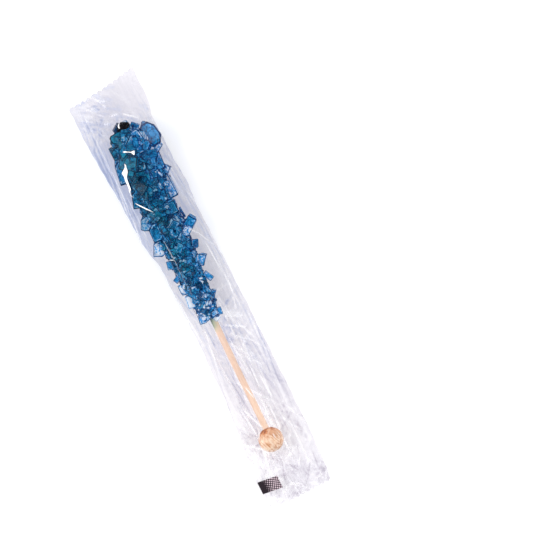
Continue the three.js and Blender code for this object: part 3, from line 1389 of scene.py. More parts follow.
@dataclass(frozen=True)
class CreasePatch:
    """A patch of like creases. Places and sizes are in millimetres, from the middle of the wrap.

    turn is in degrees from the wrap's length, and spread how far single creases stray from it. height is how
    far they lift the film, or in a patch of hair-fine lines how strongly they show.
    """

    middle: tuple[float, float]
    half: tuple[float, float]
    count: int
    length: tuple[float, float]
    width: tuple[float, float]
    height: float
    turn: float = 0.0
    spread: float = 10.0
    fan: Fan = Fan.PARALLEL
    # How far a gathered patch's creases turn for each millimetre from its middle, in degrees.
    GATHER = 2.2

    def creases(self, random: np.random.Generator) -> list[Crease]:
        """Draws the patch's creases at random within it.

        Args:
            random: The generator that draws them.

        Returns:
            The creases, in metres.
        """
        made = []
        for _ in range(self.count):
            x = self.middle[0] + self.half[0] * random.uniform(-1, 1)
            y = self.middle[1] + self.half[1] * random.uniform(-1, 1)
            lean = self.turn + random.normal(0.0, self.spread)
            if self.fan is Fan.GATHERED:
                lean -= self.GATHER * (x - self.middle[0]) * math.copysign(1.0, self.middle[1])
            reach = random.uniform(*self.length) / 2
            dx, dy = math.sin(math.radians(lean)) * reach, math.cos(math.radians(lean)) * reach
            height = self.height * random.uniform(0.4, 1.0) * random.choice([-1.0, 1.0])
            start, end = [((x + way * dx) * MM, (y + way * dy) * MM) for way in (-1, 1)]
            made.append(Crease(start, end, random.uniform(*self.width) * MM, height * MM))
        return made


class FlowWrap:
    """The film: a flattened tube drawn over the candy, welded flat at both ends and cut to teeth."""

    COLUMNS = 144
    TEETH = 12
    TOOTH_DEPTH = 1.3 * MM
    RIB_COLUMNS = 4
    RIB_HEIGHT = 0.10 * MM
    BAND_ROWS = 22
    BODY_ROWS = (172, 114)
    CLOSER_ROWS = 36 * MM
    WELD = 0.08 * MM
    CANDY_CUT_SKEW = 4.3 * MM
    BALL_CUT_SKEW = 0.7 * MM
    # The side edges' wobbles: each one's size in millimetres, its rate along the wrap and its phase.
    WOBBLES = ((0.12, 0.31, 0.0), (0.10, 0.83, 1.0))
    OPENING = 7 * MM
    CLEARANCE = 0.15 * MM
    # How the film is drawn taut: grid steps from coarse to fine, rounds at each, and its tension across and
    # along. The pillow is its shape over nothing, as a share of the crown, and PULL how well it keeps it.
    STRIDES = (8, 4, 2, 1)
    ROUNDS = 90
    TENSION = (0.86, 0.14)
    PILLOW = 0.86
    PULL = 0.012
    STIFFNESS = 2
    DRAPE = 1.25
    UNDERSIDE = 2.4
    # The lower film is flat over the seam, BACK above the ground, and rises over the wings beside it. Both
    # are shares of the wrap's half width.
    SEAM = 0.33
    WINGS = 0.67
    BACK = 0.35 * MM
    # The most that creases lift the upper film, and how much of their lift the lower film has.
    MOST_LIFT = 0.8 * MM
    UNDER_LIFT = 0.4
    # The share of the half width over which the creases run out at the side edges.
    SIDE = 0.08
    # How the film's density follows its shape: smooth film, creases, painted clearer where they rise and
    # denser where they sink as painted light and shade, hair-fine lines, whose dark ones are painted shade,
    # denser marks of painted shade, film that lies on the candy, which is calmer and clearer, a painted shade
    # deeper on one side of each half of the wrap, and the marks of handling, which are fewer in the pressed
    # band.
    SMOOTH = 0.16
    CREASED = 0.11
    LINED = 0.18
    DENSER = 0.13
    CALMED = 0.75
    CLEARER = 0.11
    SIDE_SHADE = 0.030
    MARKS = 0.16
    PRESSED = 0.55
    # How white the painted highlights of hair-fine lines are, and how much faint painted sheen lies on the
    # film beyond these places, in millimetres.
    LINE_WHITE = 0.44
    PAINTED_SHEEN = 0.002
    SHEEN_LIMITS = (4, 55)
    PATCHES = (
        CreasePatch((0.0, -84.0), (14.0, 7.0), 46, (8.0, 20.0), (0.8, 2.0), 0.55, fan=Fan.GATHERED),
        CreasePatch((0.0, 85.0), (15.0, 5.0), 30, (6.0, 14.0), (0.7, 1.8), 0.45, fan=Fan.GATHERED),
        CreasePatch((-7.0, 92.0), (9.0, 8.0), 26, (7.0, 15.0), (0.8, 2.2), 0.40, -52.0, 16.0),
        CreasePatch((2.0, -50.0), (12.0, 32.0), 60, (14.0, 46.0), (0.7, 1.9), 0.50, 0.0, 7.0),
        CreasePatch((-13.5, 40.0), (2.6, 48.0), 46, (10.0, 34.0), (0.5, 1.2), 0.30, 4.0, 4.0),
        CreasePatch((13.0, 40.0), (2.6, 48.0), 40, (10.0, 34.0), (0.5, 1.2), 0.30, -3.0, 5.0),
        CreasePatch((8.0, -18.0), (7.0, 16.0), 22, (6.0, 16.0), (0.8, 1.8), 0.40, 62.0, 18.0),
        CreasePatch((0.0, -72.0), (13.0, 14.0), 44, (6.0, 18.0), (0.7, 1.6), 0.40, 20.0, 45.0),
    )
    # Hair-fine creases. Their height is only how strongly they show: up is a line of painted highlight and
    # down a line of painted shade.
    LINES = (
        CreasePatch((0.0, -45.0), (14.0, 42.0), 60, (10.0, 36.0), (0.3, 0.8), 1.0, 0.0, 8.0),
        CreasePatch((7.0, -50.0), (8.0, 26.0), 26, (9.0, 26.0), (0.3, 1.0), 0.8, -24.0, 14.0),
        CreasePatch((-4.0, -76.0), (12.0, 14.0), 64, (5.0, 14.0), (0.3, 0.8), 1.0, 30.0, 45.0),
        CreasePatch((0.0, -96.0), (16.0, 7.0), 90, (3.0, 10.0), (0.4, 0.9), 1.0, 20.0, 60.0),
        CreasePatch((8.0, -18.0), (7.0, 12.0), 12, (8.0, 20.0), (0.5, 1.1), 0.6, 58.0, 12.0),
        CreasePatch((-13.5, 40.0), (2.4, 50.0), 40, (10.0, 30.0), (0.20, 0.40), 0.9, 4.0, 3.0),
        CreasePatch((13.2, 40.0), (2.0, 50.0), 40, (10.0, 30.0), (0.20, 0.40), 0.9, -2.0, 3.0),
        CreasePatch((-8.0, 93.0), (8.0, 7.0), 40, (4.0, 11.0), (0.4, 0.9), 0.5, -48.0, 18.0),
        CreasePatch((8.0, 92.0), (9.0, 8.0), 8, (7.0, 15.0), (0.6, 1.4), 0.2, -40.0, 10.0),
        CreasePatch((-11.0, 84.0), (5.0, 5.0), 14, (5.0, 12.0), (0.3, 0.6), 0.6, 0.0, 22.0),
    )
    # Soft folds in the welded bands.
    RUMPLES = (
        CreasePatch((0.0, -97.0), (16.0, 6.0), 40, (5.0, 14.0), (1.2, 3.0), 0.55, 10.0, 40.0),
        CreasePatch((-6.0, 97.0), (10.0, 5.0), 20, (6.0, 14.0), (1.2, 3.0), 0.40, -50.0, 16.0),
        CreasePatch((9.0, 97.0), (8.0, 5.0), 5, (8.0, 16.0), (1.5, 3.5), 0.12, -40.0, 12.0),
    )
    # Millimetres from the wrap's middle, and how much denser the film looks there than where it is smooth: the
    # film's own tint, and painted shade that deepens beside the candy.
    TINT_AND_SHADE = np.array(
        [
            *((-104, 0.065), (-88, 0.06), (-60, 0.068), (-40, 0.078), (-15, 0.092), (0, 0.105), (20, 0.135)),
            *((45, 0.19), (65, 0.19), (80, 0.135), (90, 0.125), (104, 0.125)),
        ]
    )
    # Single creases that show, in millimetres from the middle of the wrap, with a painted highlight on the
    # crest where white is above 0 and painted shade where it is below.
    SHARP = (
        Crease((-5.7, -68.8), (-7.4, -72.6), 0.40, 0.2, 0.45),
        Crease((6.2, 28.6), (11.0, 22.0), 0.26, 0.4, 0.35),
        Crease((10.4, 22.8), (14.8, 13.6), 0.26, 0.4, 0.30),
        Crease((-5.2, 27.4), (-4.7, 14.0), 0.26, 0.02, 0.24),
        Crease((-4.9, 17.0), (-5.0, -1.0), 0.26, 0.02, 0.10),
        Crease((3.8, 86.6), (8.9, 81.8), 0.24, 0.4, 0.8),
        Crease((7.4, 83.6), (10.2, 80.2), 0.20, 0.3, 0.3),
        Crease((-12.4, 98.2), (-8.7, 96.2), 0.70, 0.2, 0.22),
        Crease((-10.6, 98.8), (-7.4, 96.4), 0.55, 0.2, 0.18),
        Crease((-2.5, 94.7), (-1.3, 91.9), 0.55, 0.2, 0.25),
        Crease((-1.4, 88.0), (2.3, 87.2), 0.85, 0.2, 0.25),
        Crease((-5.6, 86.4), (-3.8, 84.6), 0.90, 0.2, 0.28),
        Crease((-12.4, 93.2), (-8.3, 91.0), 0.80, 0.2, 0.20),
        Crease((-13.2, 95.6), (-9.8, 94.0), 0.50, 0.3, -0.7),
        Crease((-9.2, 95.7), (-3.6, 94.6), 0.60, 0.3, -0.7),
        Crease((-8.1, 94.2), (-4.2, 92.8), 0.85, 0.3, -1.0),
        Crease((-6.4, 88.8), (-4.8, 87.5), 0.80, 0.3, -1.0),
        Crease((-13.3, 88.4), (-9.6, 84.6), 0.75, 0.3, -0.7),
        Crease((-11.4, 89.6), (-7.9, 86.4), 0.55, 0.3, -0.6),
        Crease((-13.3, 86.0), (-10.0, 83.6), 0.50, 0.3, -0.5),
        Crease((1.3, -26.5), (2.9, -43.9), 0.30, 0.3, 0.30),
        Crease((-7.4, -57.3), (-3.3, -68.6), 0.45, 0.3, 0.50),
        Crease((-15.0, -71.0), (-5.4, -78.9), 0.60, 0.3, 0.35),
        Crease((-2.3, -48.0), (-0.8, -54.2), 0.34, 0.3, 0.55),
        Crease((2.0, -57.0), (0.5, -70.6), 0.34, 0.3, 0.30),
        Crease((2.3, -19.3), (11.1, -24.4), 0.60, 0.3, 0.40),
        Crease((3.2, -15.2), (12.1, -19.3), 0.50, 0.3, 0.35),
        Crease((2.6, -24.0), (10.4, -31.0), 0.50, 0.3, 0.30),
    )
    # Flats with painted highlights where white is above 0 and painted shade where it is below.
    FLATS = (
        Flat(0.40, ((-0.9, -72.2), (-0.7, -74.4), (0.0, -74.9), (0.1, -72.8))),
        Flat(0.20, ((9.9, -19.8), (12.5, -17.7), (5.4, -12.7), (3.5, -14.1))),
        Flat(0.12, ((6.4, -22.0), (9.3, -23.0), (9.9, -20.4), (5.4, -18.5))),
        Flat(-0.40, ((2.5, -23.3), (5.7, -24.9), (6.4, -20.2), (1.0, -19.3))),
        Flat(-0.50, ((9.6, -35.2), (10.2, -34.2), (7.5, -30.4), (6.4, -30.4))),
        Flat(-0.40, ((4.1, -40.2), (9.9, -38.1), (9.6, -36.5), (3.5, -38.4))),
        Flat(-0.40, ((7.0, -11.6), (11.2, -12.1), (9.9, -9.5), (6.4, -8.1))),
        Flat(0.045, ((8.6, 68.2), (13.8, 69.0), (14.6, 73.5), (12.6, 78.2), (9.0, 78.4), (7.6, 73.0))),
    )

    def __init__(self, wrap: PackedWrap, seed: int) -> None:
        """Lays out the film's grid.

        Args:
            wrap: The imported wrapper's measures.
            seed: Sets the creases.
        """
        self.wrap = wrap
        self.random = np.random.default_rng(seed)
        band = np.linspace(0.0, 1.0, self.BAND_ROWS, endpoint=False)[:, None]
        across = np.linspace(0.0, 1.0, self.COLUMNS + 1)
        ball_cut, candy_cut = self._cut_lines(across)
        ball = ball_cut + (wrap.ball_seal - ball_cut) * band
        coarse = np.linspace(wrap.ball_seal, self.CLOSER_ROWS, self.BODY_ROWS[0], endpoint=False)
        close = np.linspace(self.CLOSER_ROWS, wrap.candy_seal, self.BODY_ROWS[1])
        body = np.concatenate([coarse, close])[:, None] + 0 * across
        candy = candy_cut + (wrap.candy_seal - candy_cut) * band
        self.y = np.concatenate([ball, body, candy[::-1]])
        self.rows = self.y.mean(1)
        left, right, edge = [wrap.measure(column, self.rows)[:, None] for column in (1, 2, 3)]
        waves = [size * MM * np.sin(self.rows / MM * rate + phase) for size, rate, phase in self.WOBBLES]
        self.across = 2 * across - 1
        self.x = left + (right - left) * across + sum(waves)[:, None] * self.across
        self.edge = edge

    def _cut_lines(self, across: np.ndarray) -> tuple[np.ndarray, np.ndarray]:
        """The two zigzag cuts, as a place along the wrap for each column.

        Args:
            across: The columns' places, from 0 to 1.

        Returns:
            The cut at the ball end, and the one at the candy end.
        """
        uneven = self.random.uniform(0.4, 1.0, self.TEETH + 1)[(across * self.TEETH).astype(int)]
        notch = np.abs((across * self.TEETH) % 1 - 0.5) * 2 * self.TOOTH_DEPTH * uneven
        jitter = self.random.uniform(0.0, 0.25 * MM, (2, len(across)))
        ball = self.wrap.low.y + self.BALL_CUT_SKEW * across + notch + jitter[0]
        candy = self.wrap.high.y - self.CANDY_CUT_SKEW * (1 - across**1.6) - notch - jitter[1]
        return ball, candy

    def _openness(self) -> np.ndarray:
        """0 in the welded bands and 1 where the two films part, for each row and column."""
        from_ball = (self.y - self.wrap.ball_seal) / self.OPENING
        from_candy = (self.wrap.candy_seal - self.y) / self.OPENING
        return smooth(np.minimum(from_ball, from_candy))

    @staticmethod
    def _blurred(values: np.ndarray, times: int) -> np.ndarray:
        """Evens out values on the grid by mixing each with its neighbours, some number of times.

        Args:
            values: The values, row by row.
            times: How often each is mixed.

        Returns:
            The evened values.
        """
        for _ in range(times):
            for axis in (0, 1):
                values = (np.roll(values, 1, axis) + 2 * values + np.roll(values, -1, axis)) / 4
        return values

    def _stiffened(self, obstacle: np.ndarray) -> np.ndarray:
        """Rounds what the film lies on, because it is too stiff to follow a crystal's corners.

        Args:
            obstacle: How high the contents reach at each point.

        Returns:
            The heights, never lower than before.
        """
        rounded = obstacle.copy()
        for _ in range(self.STIFFNESS):
            for axis in (0, 1):
                rounded = np.maximum.reduce([np.roll(rounded, shift, axis) for shift in (-1, 0, 1)])
        return np.maximum(self._blurred(rounded, 2 * self.STIFFNESS), obstacle)

    def _drape(self, contents: BVHTree) -> tuple[np.ndarray, np.ndarray]:
        """Draws the upper film over the contents like a taut skin.

        Args:
            contents: Everything inside the film.

        Returns:
            The film's height, and how free it is of the contents, from 0 to 1.
        """
        obstacle = np.full(self.x.shape, -1.0)
        for place in np.ndindex(self.x.shape):
            met = height_below(contents, self.x[place], self.y[place])
            if met is not None:
                obstacle[place] = met + self.CLEARANCE
        self.covering = self._blurred((obstacle > 0).astype(float), 4)
        obstacle = self._stiffened(obstacle)
        edge, open_ = self.edge, self._openness()
        crown = self.wrap.measure(4, self.rows)[:, None]
        pillow = edge + (crown - edge) * np.cos(np.pi / 2 * self.across) ** self.DRAPE * open_ * self.PILLOW
        height = np.maximum(pillow, obstacle)
        for stride in self.STRIDES:
            inner, after, before = slice(stride, -stride), slice(2 * stride, None), slice(None, -2 * stride)
            for _ in range(self.ROUNDS):
                mean = height.copy()
                across = height[inner, after] + height[inner, before]
                along = height[after, inner] + height[before, inner]
                mean[inner, inner] = (self.TENSION[0] * across + self.TENSION[1] * along) / 2
                height = np.where(open_ > 0, (1 - self.PULL) * mean + self.PULL * pillow, height)
                height[:, 0], height[:, -1] = edge[:, 0], edge[:, 0]
                height = np.maximum(height, obstacle)
        height = np.where(open_ > 0, height, edge)
        return height, smooth((height - obstacle) / (1.2 * MM))

    def _creased(self, patches: tuple[CreasePatch, ...]) -> np.ndarray:
        """The lift of every crease in these patches, summed over the grid.

        Args:
            patches: The patches of creases.

        Returns:
            The lift of each point, in metres.
        """
        total = np.zeros(self.x.shape)
        for patch in patches:
            for crease in patch.creases(self.random):
                total += crease.height * crease.crest(self.x, self.y)
        return total

    def _marked(self, way: float) -> np.ndarray:
        """How strongly single creases and flats show: their painted highlights if way is 1, their painted
        shade if -1.

        Args:
            way: 1 or -1.

        Returns:
            A share from 0 to 1 for each point.
        """
        x, y = self.x / MM, self.y / MM
        marks = [way * crease.white * crease.crest(x, y, sharp=2.5) for crease in self.SHARP]
        marks += [way * flat.white * flat.cover(x, y) for flat in self.FLATS]
        return np.maximum.reduce([np.zeros(x.shape), *marks])

    def _sheet(self, name: str, height: np.ndarray, fold: np.ndarray) -> bpy.types.Object:
        """Adds one film as a grid, moves its points to their places and notes how it is folded and worked.

        Args:
            name: The sheet's name.
            height: The height of each point.
            fold: How clear the film is at each point.

        Returns:
            The sheet.
        """
        sheet = new_grid(*self.x.shape)
        sheet.name = name
        move_points(sheet, np.stack([self.x, self.y, height], 2).reshape(-1, 3))
        pressed = smooth((self.y - self.wrap.candy_seal + 6 * MM) / (6 * MM))
        worked = self.MARKS * (1 - self.PRESSED * pressed)
        note_values(sheet, fold=fold + self.MARKS - worked, worked=worked)
        return sheet

    def build(self, contents: BVHTree, finish: FilmFinish) -> bpy.types.Object:
        """Makes both films, creases them and welds them together all round.

        Args:
            contents: Everything inside the film.
            finish: The film.

        Returns:
            The film, as one closed skin.
        """
        open_ = self._openness()
        upper, free = self._drape(contents)
        floor = self.wrap.measure(5, self.rows)[:, None] + self.BACK * open_
        outward = np.clip((np.abs(self.across) - self.SEAM) / self.WINGS, 0.0, 1.0)
        lower = floor + (self.edge - floor) * outward**self.UNDERSIDE
        sides = smooth((1 - np.abs(self.across)) / self.SIDE)
        rib = ((np.arange(self.COLUMNS + 1) % self.RIB_COLUMNS) < self.RIB_COLUMNS / 2) * 2.0 - 1.0
        welded = (1 - open_) * (rib * self.RIB_HEIGHT + self._creased(self.RUMPLES))
        loose = self._creased(self.PATCHES) * open_ * sides
        named = sum(crease.height * crease.crest(self.x / MM, self.y / MM) for crease in self.SHARP) * MM
        upper = upper + welded + np.clip(loose * free, -self.MOST_LIFT, self.MOST_LIFT) + named
        lower = lower + welded + np.abs(self._creased(self.PATCHES)) * self.UNDER_LIFT * open_ * sides
        gap = self.WELD * sides * smooth((np.minimum(self.y - self.y[0], self.y[-1] - self.y)) / (1.0 * MM))
        upper = np.maximum(upper, lower + gap)
        upper[:, 0], upper[:, -1] = lower[:, 0], lower[:, -1]
        upper[0], upper[-1] = lower[0], lower[-1]

        rough = self._creased(self.RUMPLES)
        # The film's own tint, with painted shade beside the candy and on one side of each half of the wrap.
        tint_and_shade = read(self.TINT_AND_SHADE, self.y / MM) + self.SIDE_SHADE * np.tanh(-self.y / (12 * MM)) * self.across
        under = self._sheet("film_under", lower, self.SMOOTH - tint_and_shade)
        with editing():
            bpy.ops.mesh.flip_normals()
        taut = 1 - self.CALMED * self.covering
        lines = np.clip(self._creased(self.LINES) / MM, -1.0, 1.0) * taut
        # Creases painted clearer where they rise and denser where they sink: a painted light and shade.
        creased = np.clip((loose * taut + 0.7 * (1 - open_) * rough) / (0.5 * MM), -1.0, 1.0)
        # Painted shade: the dark hair-fine lines, and the single creases and flats marked denser.
        painted_shade = self.LINED * np.minimum(lines, 0.0) - self.DENSER * self._marked(-1.0)
        fold = self.SMOOTH - tint_and_shade + self.CREASED * creased + (painted_shade + self.CLEARER * self.covering)
        film = self._sheet("film", upper, fold)
        # A faint painted sheen over the candy's top and over the ball's half of the wrap.
        low, high = self.SHEEN_LIMITS
        painted_sheen = self.PAINTED_SHEEN * (smooth((self.y / MM - high) / 15) + smooth((low - self.y / MM) / 12))
        # Painted highlights: the light hair-fine lines, and the single creases and flats marked white.
        whitened = np.maximum(self._marked(1.0), self.LINE_WHITE * np.maximum(lines, 0.0))
        note_values(film, whitened=whitened + painted_sheen)
        under.select_set(True)
        bpy.ops.object.join()
        with editing():
            bpy.ops.mesh.remove_doubles(threshold=1e-6)
        bpy.ops.object.shade_smooth()
        self.lower = lower
        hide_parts(WRAPPER)
        return finish_piece(film, "film", finish.material())


class PaintedGlints:
    """The sharp glints, as painted highlights: narrow white flats laid on the film where it is pulled taut
    over the candy's edges.
    """

    ABOVE = 0.06 * MM
    THICK = 0.03 * MM
    ROWS = 41
    COLUMNS = 6
    SMOOTH = 0.38
    # Each flat's stations run down its length: its left and its right edge there, as x and y in millimetres
    # from the middle of the wrap, and how white its painted highlight is.
    FLATS = (
        (
            *((-5.3, 65.5, -5.1, 65.5, 0.7), (-5.7, 64.2, -4.9, 64.6, 1.0), (-6.2, 63.7, -5.2, 63.9, 1.0)),
            *((-8.3, 62.4, -5.3, 62.4, 0.8), (-8.2, 61.2, -5.7, 61.4, 0.8), (-8.1, 60.5, -6.3, 60.7, 0.9)),
            *((-8.4, 59.0, -7.2, 59.6, 1.0), (-8.5, 56.3, -7.6, 56.9, 1.0), (-8.6, 55.0, -7.8, 54.9, 1.0)),
            *((-8.9, 54.2, -7.9, 54.1, 0.9), (-9.3, 53.1, -9.1, 53.1, 0.5)),
        ),
        (
            *((-3.5, 70.5, -3.5, 70.6, 0.7), (-3.0, 69.9, -2.7, 70.5, 1.0), (-1.7, 69.4, -1.6, 69.7, 1.0)),
            *((-0.4, 68.6, -0.2, 68.9, 1.0), (0.4, 67.0, 1.3, 68.9, 1.0), (0.8, 67.2, 1.5, 68.7, 0.8)),
        ),
        (
            *((1.0, 83.2, 1.1, 83.1, 0.6), (0.1, 82.5, 0.5, 82.3, 1.0), (-0.4, 81.8, 0.2, 81.6, 1.0)),
            *((-0.4, 81.0, 0.1, 80.9, 1.0), (-0.2, 80.6, 0.0, 80.6, 0.7)),
        ),
        (
            *((-9.0, 47.5, -8.8, 47.7, 0.5), (-8.6, 46.8, -8.3, 47.0, 0.8), (-7.3, 45.0, -6.9, 45.2, 1.0)),
            *((-5.6, 42.7, -5.2, 43.0, 0.9), (-4.1, 41.1, -3.9, 41.2, 0.6), (-3.5, 40.4, -3.4, 40.5, 0.3)),
        ),
        ((-8.9, 53.4, -8.7, 53.5, 0.5), (-9.3, 51.8, -9.1, 51.8, 0.6), (-8.7, 50.4, -8.5, 50.5, 0.4)),
        (
            *((-7.0, 18.0, -7.0, 18.1, 0.3), (-6.2, 17.6, -6.2, 18.0, 0.55), (-5.5, 17.2, -5.4, 17.5, 0.55)),
            *((-4.9, 17.1, -4.9, 17.2, 0.3),),
        ),
    )

    def _points(self, stations: tuple[tuple[float, ...], ...]) -> tuple[np.ndarray, np.ndarray, np.ndarray]:
        """Divides one flat: x and y in metres, and its whiteness, row by row.

        Args:
            stations: The flat's stations.

        Returns:
            The three grids.
        """
        table = np.column_stack([np.arange(len(stations)), np.array(stations)])
        rows = np.linspace(0, len(stations) - 1, self.ROWS)
        lx, ly, rx, ry, white = [read(table, rows, column)[:, None] for column in range(1, 6)]
        share = np.linspace(0.0, 1.0, self.COLUMNS)
        return (lx + (rx - lx) * share) * MM, (ly + (ry - ly) * share) * MM, white + 0 * share

    def build(self, film: bpy.types.Object) -> bpy.types.Object:
        """Lays each flat on the upper film and joins them.

        Args:
            film: The finished film.

        Returns:
            The flats, as one piece.
        """
        surface = tree_of(film)
        made = []
        for stations in self.FLATS:
            flat = new_grid(self.ROWS, self.COLUMNS)
            x, y, white = self._points(stations)
            z = [height_below(surface, *place) + self.ABOVE for place in zip(x.ravel(), y.ravel())]
            move_points(flat, np.stack([x.ravel(), y.ravel(), z], 1))
            note_values(flat, fold=self.SMOOTH + 0 * white, worked=0 * white, whitened=white)
            made.append(flat)
        for flat in made:
            flat.select_set(True)
        bpy.ops.object.join()
        with editing():
            bpy.ops.mesh.normals_make_consistent(inside=False)
        flats = bpy.context.object
        thicken(flats, self.THICK)
        return finish_piece(flats, "painted_glints", film.data.materials[0])


@dataclass(frozen=True)
class BackSeam:
    """The lap seal down the back: the film's edges welded into a flat ribbon, with a painted highlight and a
    painted dark line along its edges.
    """

    # y, and then where its left and right edges run, in millimetres from the middle of the wrap.
    edges: tuple[tuple[float, float, float], ...] = (
        *((-104.0, -8.6, 3.0), (-60.0, -8.2, 3.5), (-53.0, -7.8, 4.0), (-47.5, -8.0, 4.3)),
        *((-41.0, -8.7, 3.3), (-32.0, -9.0, 2.2), (-21.0, -8.5, 1.0), (-12.0, -7.9, 1.6)),
        *((0.0, -8.2, 2.6), (104.0, -8.6, 3.0)),
    )
    # Its columns, as shares of its width. From each side, the second carries a painted dark line and the
    # fourth a painted highlight.
    places: tuple[float, ...] = (
        *(0.0, 0.02, 0.04, 0.06, 0.10, 0.25, 0.40),
        *(0.60, 0.75, 0.90, 0.94, 0.96, 0.98, 1.0),
    )
    below: float = 0.07 * MM
    thick: float = 0.06 * MM
    clear: float = 0.34
    dark: float = 0.16
    white: float = 0.40
    worked: float = 0.1
    # Its marks fade over this length at the ball's seal, and before the place where the candy hides it.
    fade: float = 12 * MM
    hidden: float = 60 * MM

    def build(self, flow: FlowWrap, material: bpy.types.Material) -> bpy.types.Object:
        """Lays the ribbon under the lower film, row by row, and gives it its thickness.

        Args:
            flow: The finished film.
            material: The film's material.

        Returns:
            The seam.
        """
        rows, columns = flow.y.shape[0], len(self.places)
        seam = new_grid(rows, columns)
        table = np.array(self.edges) * MM
        left, right = [read(table, flow.rows, column)[:, None] for column in (1, 2)]
        x = left + (right - left) * np.array(self.places)
        y = np.stack([np.interp(x[row], flow.x[row], flow.y[row]) for row in range(rows)])
        z = np.stack([np.interp(x[row], flow.x[row], flow.lower[row]) for row in range(rows)]) - self.below
        move_points(seam, np.stack([x, y, z], 2).reshape(-1, 3))
        inward = np.minimum(np.arange(columns), columns - 1 - np.arange(columns))
        begun = smooth((flow.rows - flow.wrap.ball_seal) / self.fade)
        shown = begun * smooth((self.hidden - flow.rows) / self.fade)
        # A painted dark line and a painted highlight run along each edge.
        fold = self.clear - self.dark * np.outer(shown, inward == 1)
        white = self.white * np.outer(shown, inward == 3)
        note_values(seam, fold=fold, whitened=white, worked=self.worked + 0 * white)
        thicken(seam, self.thick)
        bpy.ops.object.shade_smooth()
        return finish_piece(seam, "back_seam", material)


@dataclass(frozen=True)
class EyeMark:
    """The dark block printed on the ball-end seal, which the wrapping machine reads to place its cut."""

    middle: tuple[float, float] = (-12.2, -92.8)
    size: tuple[float, float] = (9.4, 5.9)
    skew: float = -0.13
    proud: float = 0.06 * MM
    steps: tuple[int, int] = (31, 49)

    def build(self, film: bpy.types.Object, wrap: PackedWrap, finish: InkFinish) -> bpy.types.Object:
        """Lays a thin printed patch on the upper film.

        Args:
            film: The finished film.
            wrap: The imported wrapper's measures.
            finish: The ink.

        Returns:
            The mark.
        """
        mark = new_grid(*self.steps)
        share = points_of(mark)
        x = (self.middle[0] + share[:, 0] * self.size[0]) * MM
        y = (self.middle[1] + share[:, 1] * self.size[1] + share[:, 0] * self.size[0] * self.skew) * MM
        surface = tree_of(film)
        heights = []
        for place in zip(x, y):
            met = height_below(surface, *place)
            heights.append((wrap.measure(3, place[1]) if met is None else met) + self.proud)
        move_points(mark, np.stack([x, y, heights], 1))
        note_values(mark, wear=smooth((share[:, 0] + 0.36) / 0.6))
        bpy.ops.object.shade_smooth()
        return finish_piece(mark, "printed_mark", finish.material())


# ---- Studio ----


@dataclass(frozen=True)
class Lamp:
    """A soft box: its place and size in metres, and its power in watts. It faces the origin."""

    name: str
    place: tuple[float, float, float]
    size: tuple[float, float]
    power: float

    def build(self) -> None:
        """Hangs the lamp."""
        data = bpy.data.lights.new(self.name, "AREA")
        data.shape = "RECTANGLE"
        data.size, data.size_y = self.size
        data.energy = self.power
        light = bpy.data.objects.new(self.name, data)
        light.location = self.place
        light.rotation_euler = Vector(self.place).to_track_quat("Z", "Y").to_euler()
        bpy.context.scene.collection.objects.link(light)


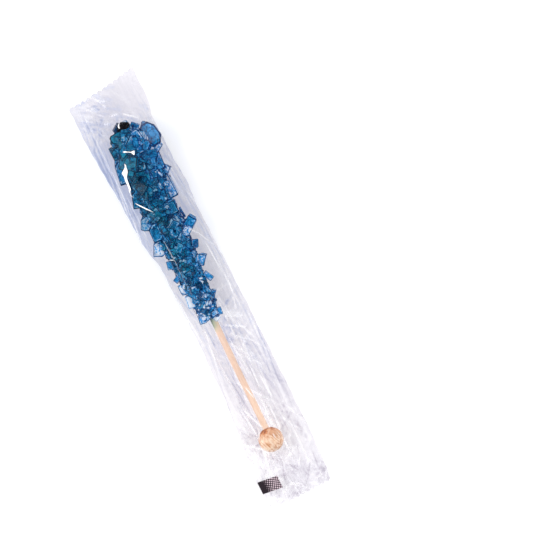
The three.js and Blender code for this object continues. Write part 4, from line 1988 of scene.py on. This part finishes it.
@dataclass(frozen=True)
class Studio:
    """A light table under soft boxes, with the camera straight above."""

    lamps: tuple[Lamp, ...] = (
        Lamp("key_box", (-0.55, 0.30, 0.55), (0.45, 0.45), 3.0),
        Lamp("fill_box", (0.6, -0.4, 0.5), (0.45, 0.45), 1.7),
        Lamp("left_strip", (-0.6, 0.0, 0.28), (0.06, 0.9), 0.8),
        Lamp("right_strip", (0.6, 0.0, 0.26), (0.06, 0.9), 0.7),
    )
    sweep: float = 3.0
    zenith: float = 0.85
    horizon: float = 1.2
    air: str = "#FAFAFB"
    # Light passes through many crystals and films before it ends.
    bounces: int = 24
    films: int = 32
    # The camera: how wide it sees, how high it hangs, its roll in degrees, and its aim in millimetres.
    frame_width: float = 241 * MM
    height: float = 1.6
    roll: float = -26.8
    aim: tuple[float, float] = (30.8, -4.1)
    sensor: float = 36.0

    def build(self) -> None:
        """Sets up the floor, the lamps, the surrounding light and the camera."""
        deselect()
        bpy.ops.mesh.primitive_plane_add(size=self.sweep)
        floor = bpy.context.object
        floor.name = "light_table"
        floor.data.materials.append(LightTableFinish().material())
        for lamp in self.lamps:
            lamp.build()
        world = bpy.data.worlds.new("studio")
        world.use_nodes = True
        tree = world.node_tree
        up = add_node(tree, "SeparateXYZ", {0: add_node(tree, "TexCoord", out="Generated")}, "Z")
        glow = add_node(tree, "MapRange", {"Value": up, "To Min": self.horizon, "To Max": self.zenith})
        background = tree.nodes["Background"]
        background.inputs["Color"].default_value = linear(self.air)
        tree.links.new(glow, background.inputs["Strength"])
        scene = bpy.context.scene
        scene.world = world
        self._camera()
        scene.view_settings.view_transform = "Standard"
        scene.cycles.max_bounces = self.bounces
        scene.cycles.transmission_bounces = self.bounces
        scene.cycles.transparent_max_bounces = self.films

    def _camera(self) -> None:
        """Hangs the camera over the part, rolled so that the stick leans to the left."""
        data = bpy.data.cameras.new("camera")
        data.sensor_width = self.sensor
        data.lens = self.sensor * self.height / self.frame_width
        camera = bpy.data.objects.new("camera", data)
        camera.location = (self.aim[0] * MM, self.aim[1] * MM, self.height)
        camera.rotation_euler = (0.0, 0.0, math.radians(self.roll))
        bpy.context.scene.collection.objects.link(camera)
        bpy.context.scene.camera = camera


def contents_tree(pieces: list[bpy.types.Object]) -> BVHTree:
    """Joins the contents' meshes into one tree that rays can be cast at.

    Args:
        pieces: The pieces inside the film.

    Returns:
        The tree.
    """
    points: list[Vector] = []
    faces: list[list[int]] = []
    for piece in pieces:
        start = len(points)
        points.extend(vertex.co.copy() for vertex in piece.data.vertices)
        faces.extend([start + v for v in face.vertices] for face in piece.data.polygons)
    return BVHTree.FromPolygons(points, faces)


def main() -> None:
    """Builds the studio, the contents and the film, and writes how big the result is."""
    logging.basicConfig(level=logging.INFO, format="%(name)s: %(message)s")
    wrap = PackedWrap()
    line = StickLine.from_wrap(wrap)
    Studio().build()
    coarse = CrystalCutter(shapes=9, cuts=3, borders=2, seed=11)
    fine = CrystalCutter(shapes=6, cuts=1, borders=1, seed=12)
    crust = CandyCrust(line, coarse, fine, seed=5)
    crystals = crust.build(SugarFinish())
    core = CandyCore().build(line, crust, CoreFinish())
    stick = WoodenStick().build(line, BirchFinish("birch_dowel", "#E9CDB6", "#E4C3AA", "#DDB69A"))
    turned = BirchFinish(
        "turned_wooden_ball",
        "#E6CEB4",
        "#D6AE90",
        "#AC7448",
        fibre_mm=0.9,
        stretch=0.22,
        turn=-24.0,
        bands=(0.37, 0.48, 0.60),
        stained=((0.0, "#FFFFFF"), (0.5, "#F0C094"), (1.0, "#B87848")),
    )
    ball = WoodenBall().build(line, turned)
    tip = DarkTip().build(line, SyrupFinish())
    flow = FlowWrap(wrap, seed=3)
    film = flow.build(contents_tree([*crystals, core, stick, ball, tip]), FilmFinish())
    PaintedGlints().build(film)
    BackSeam().build(flow, film.data.materials[0])
    EyeMark().build(film, wrap, InkFinish())


if __name__ == "__main__":
    main()
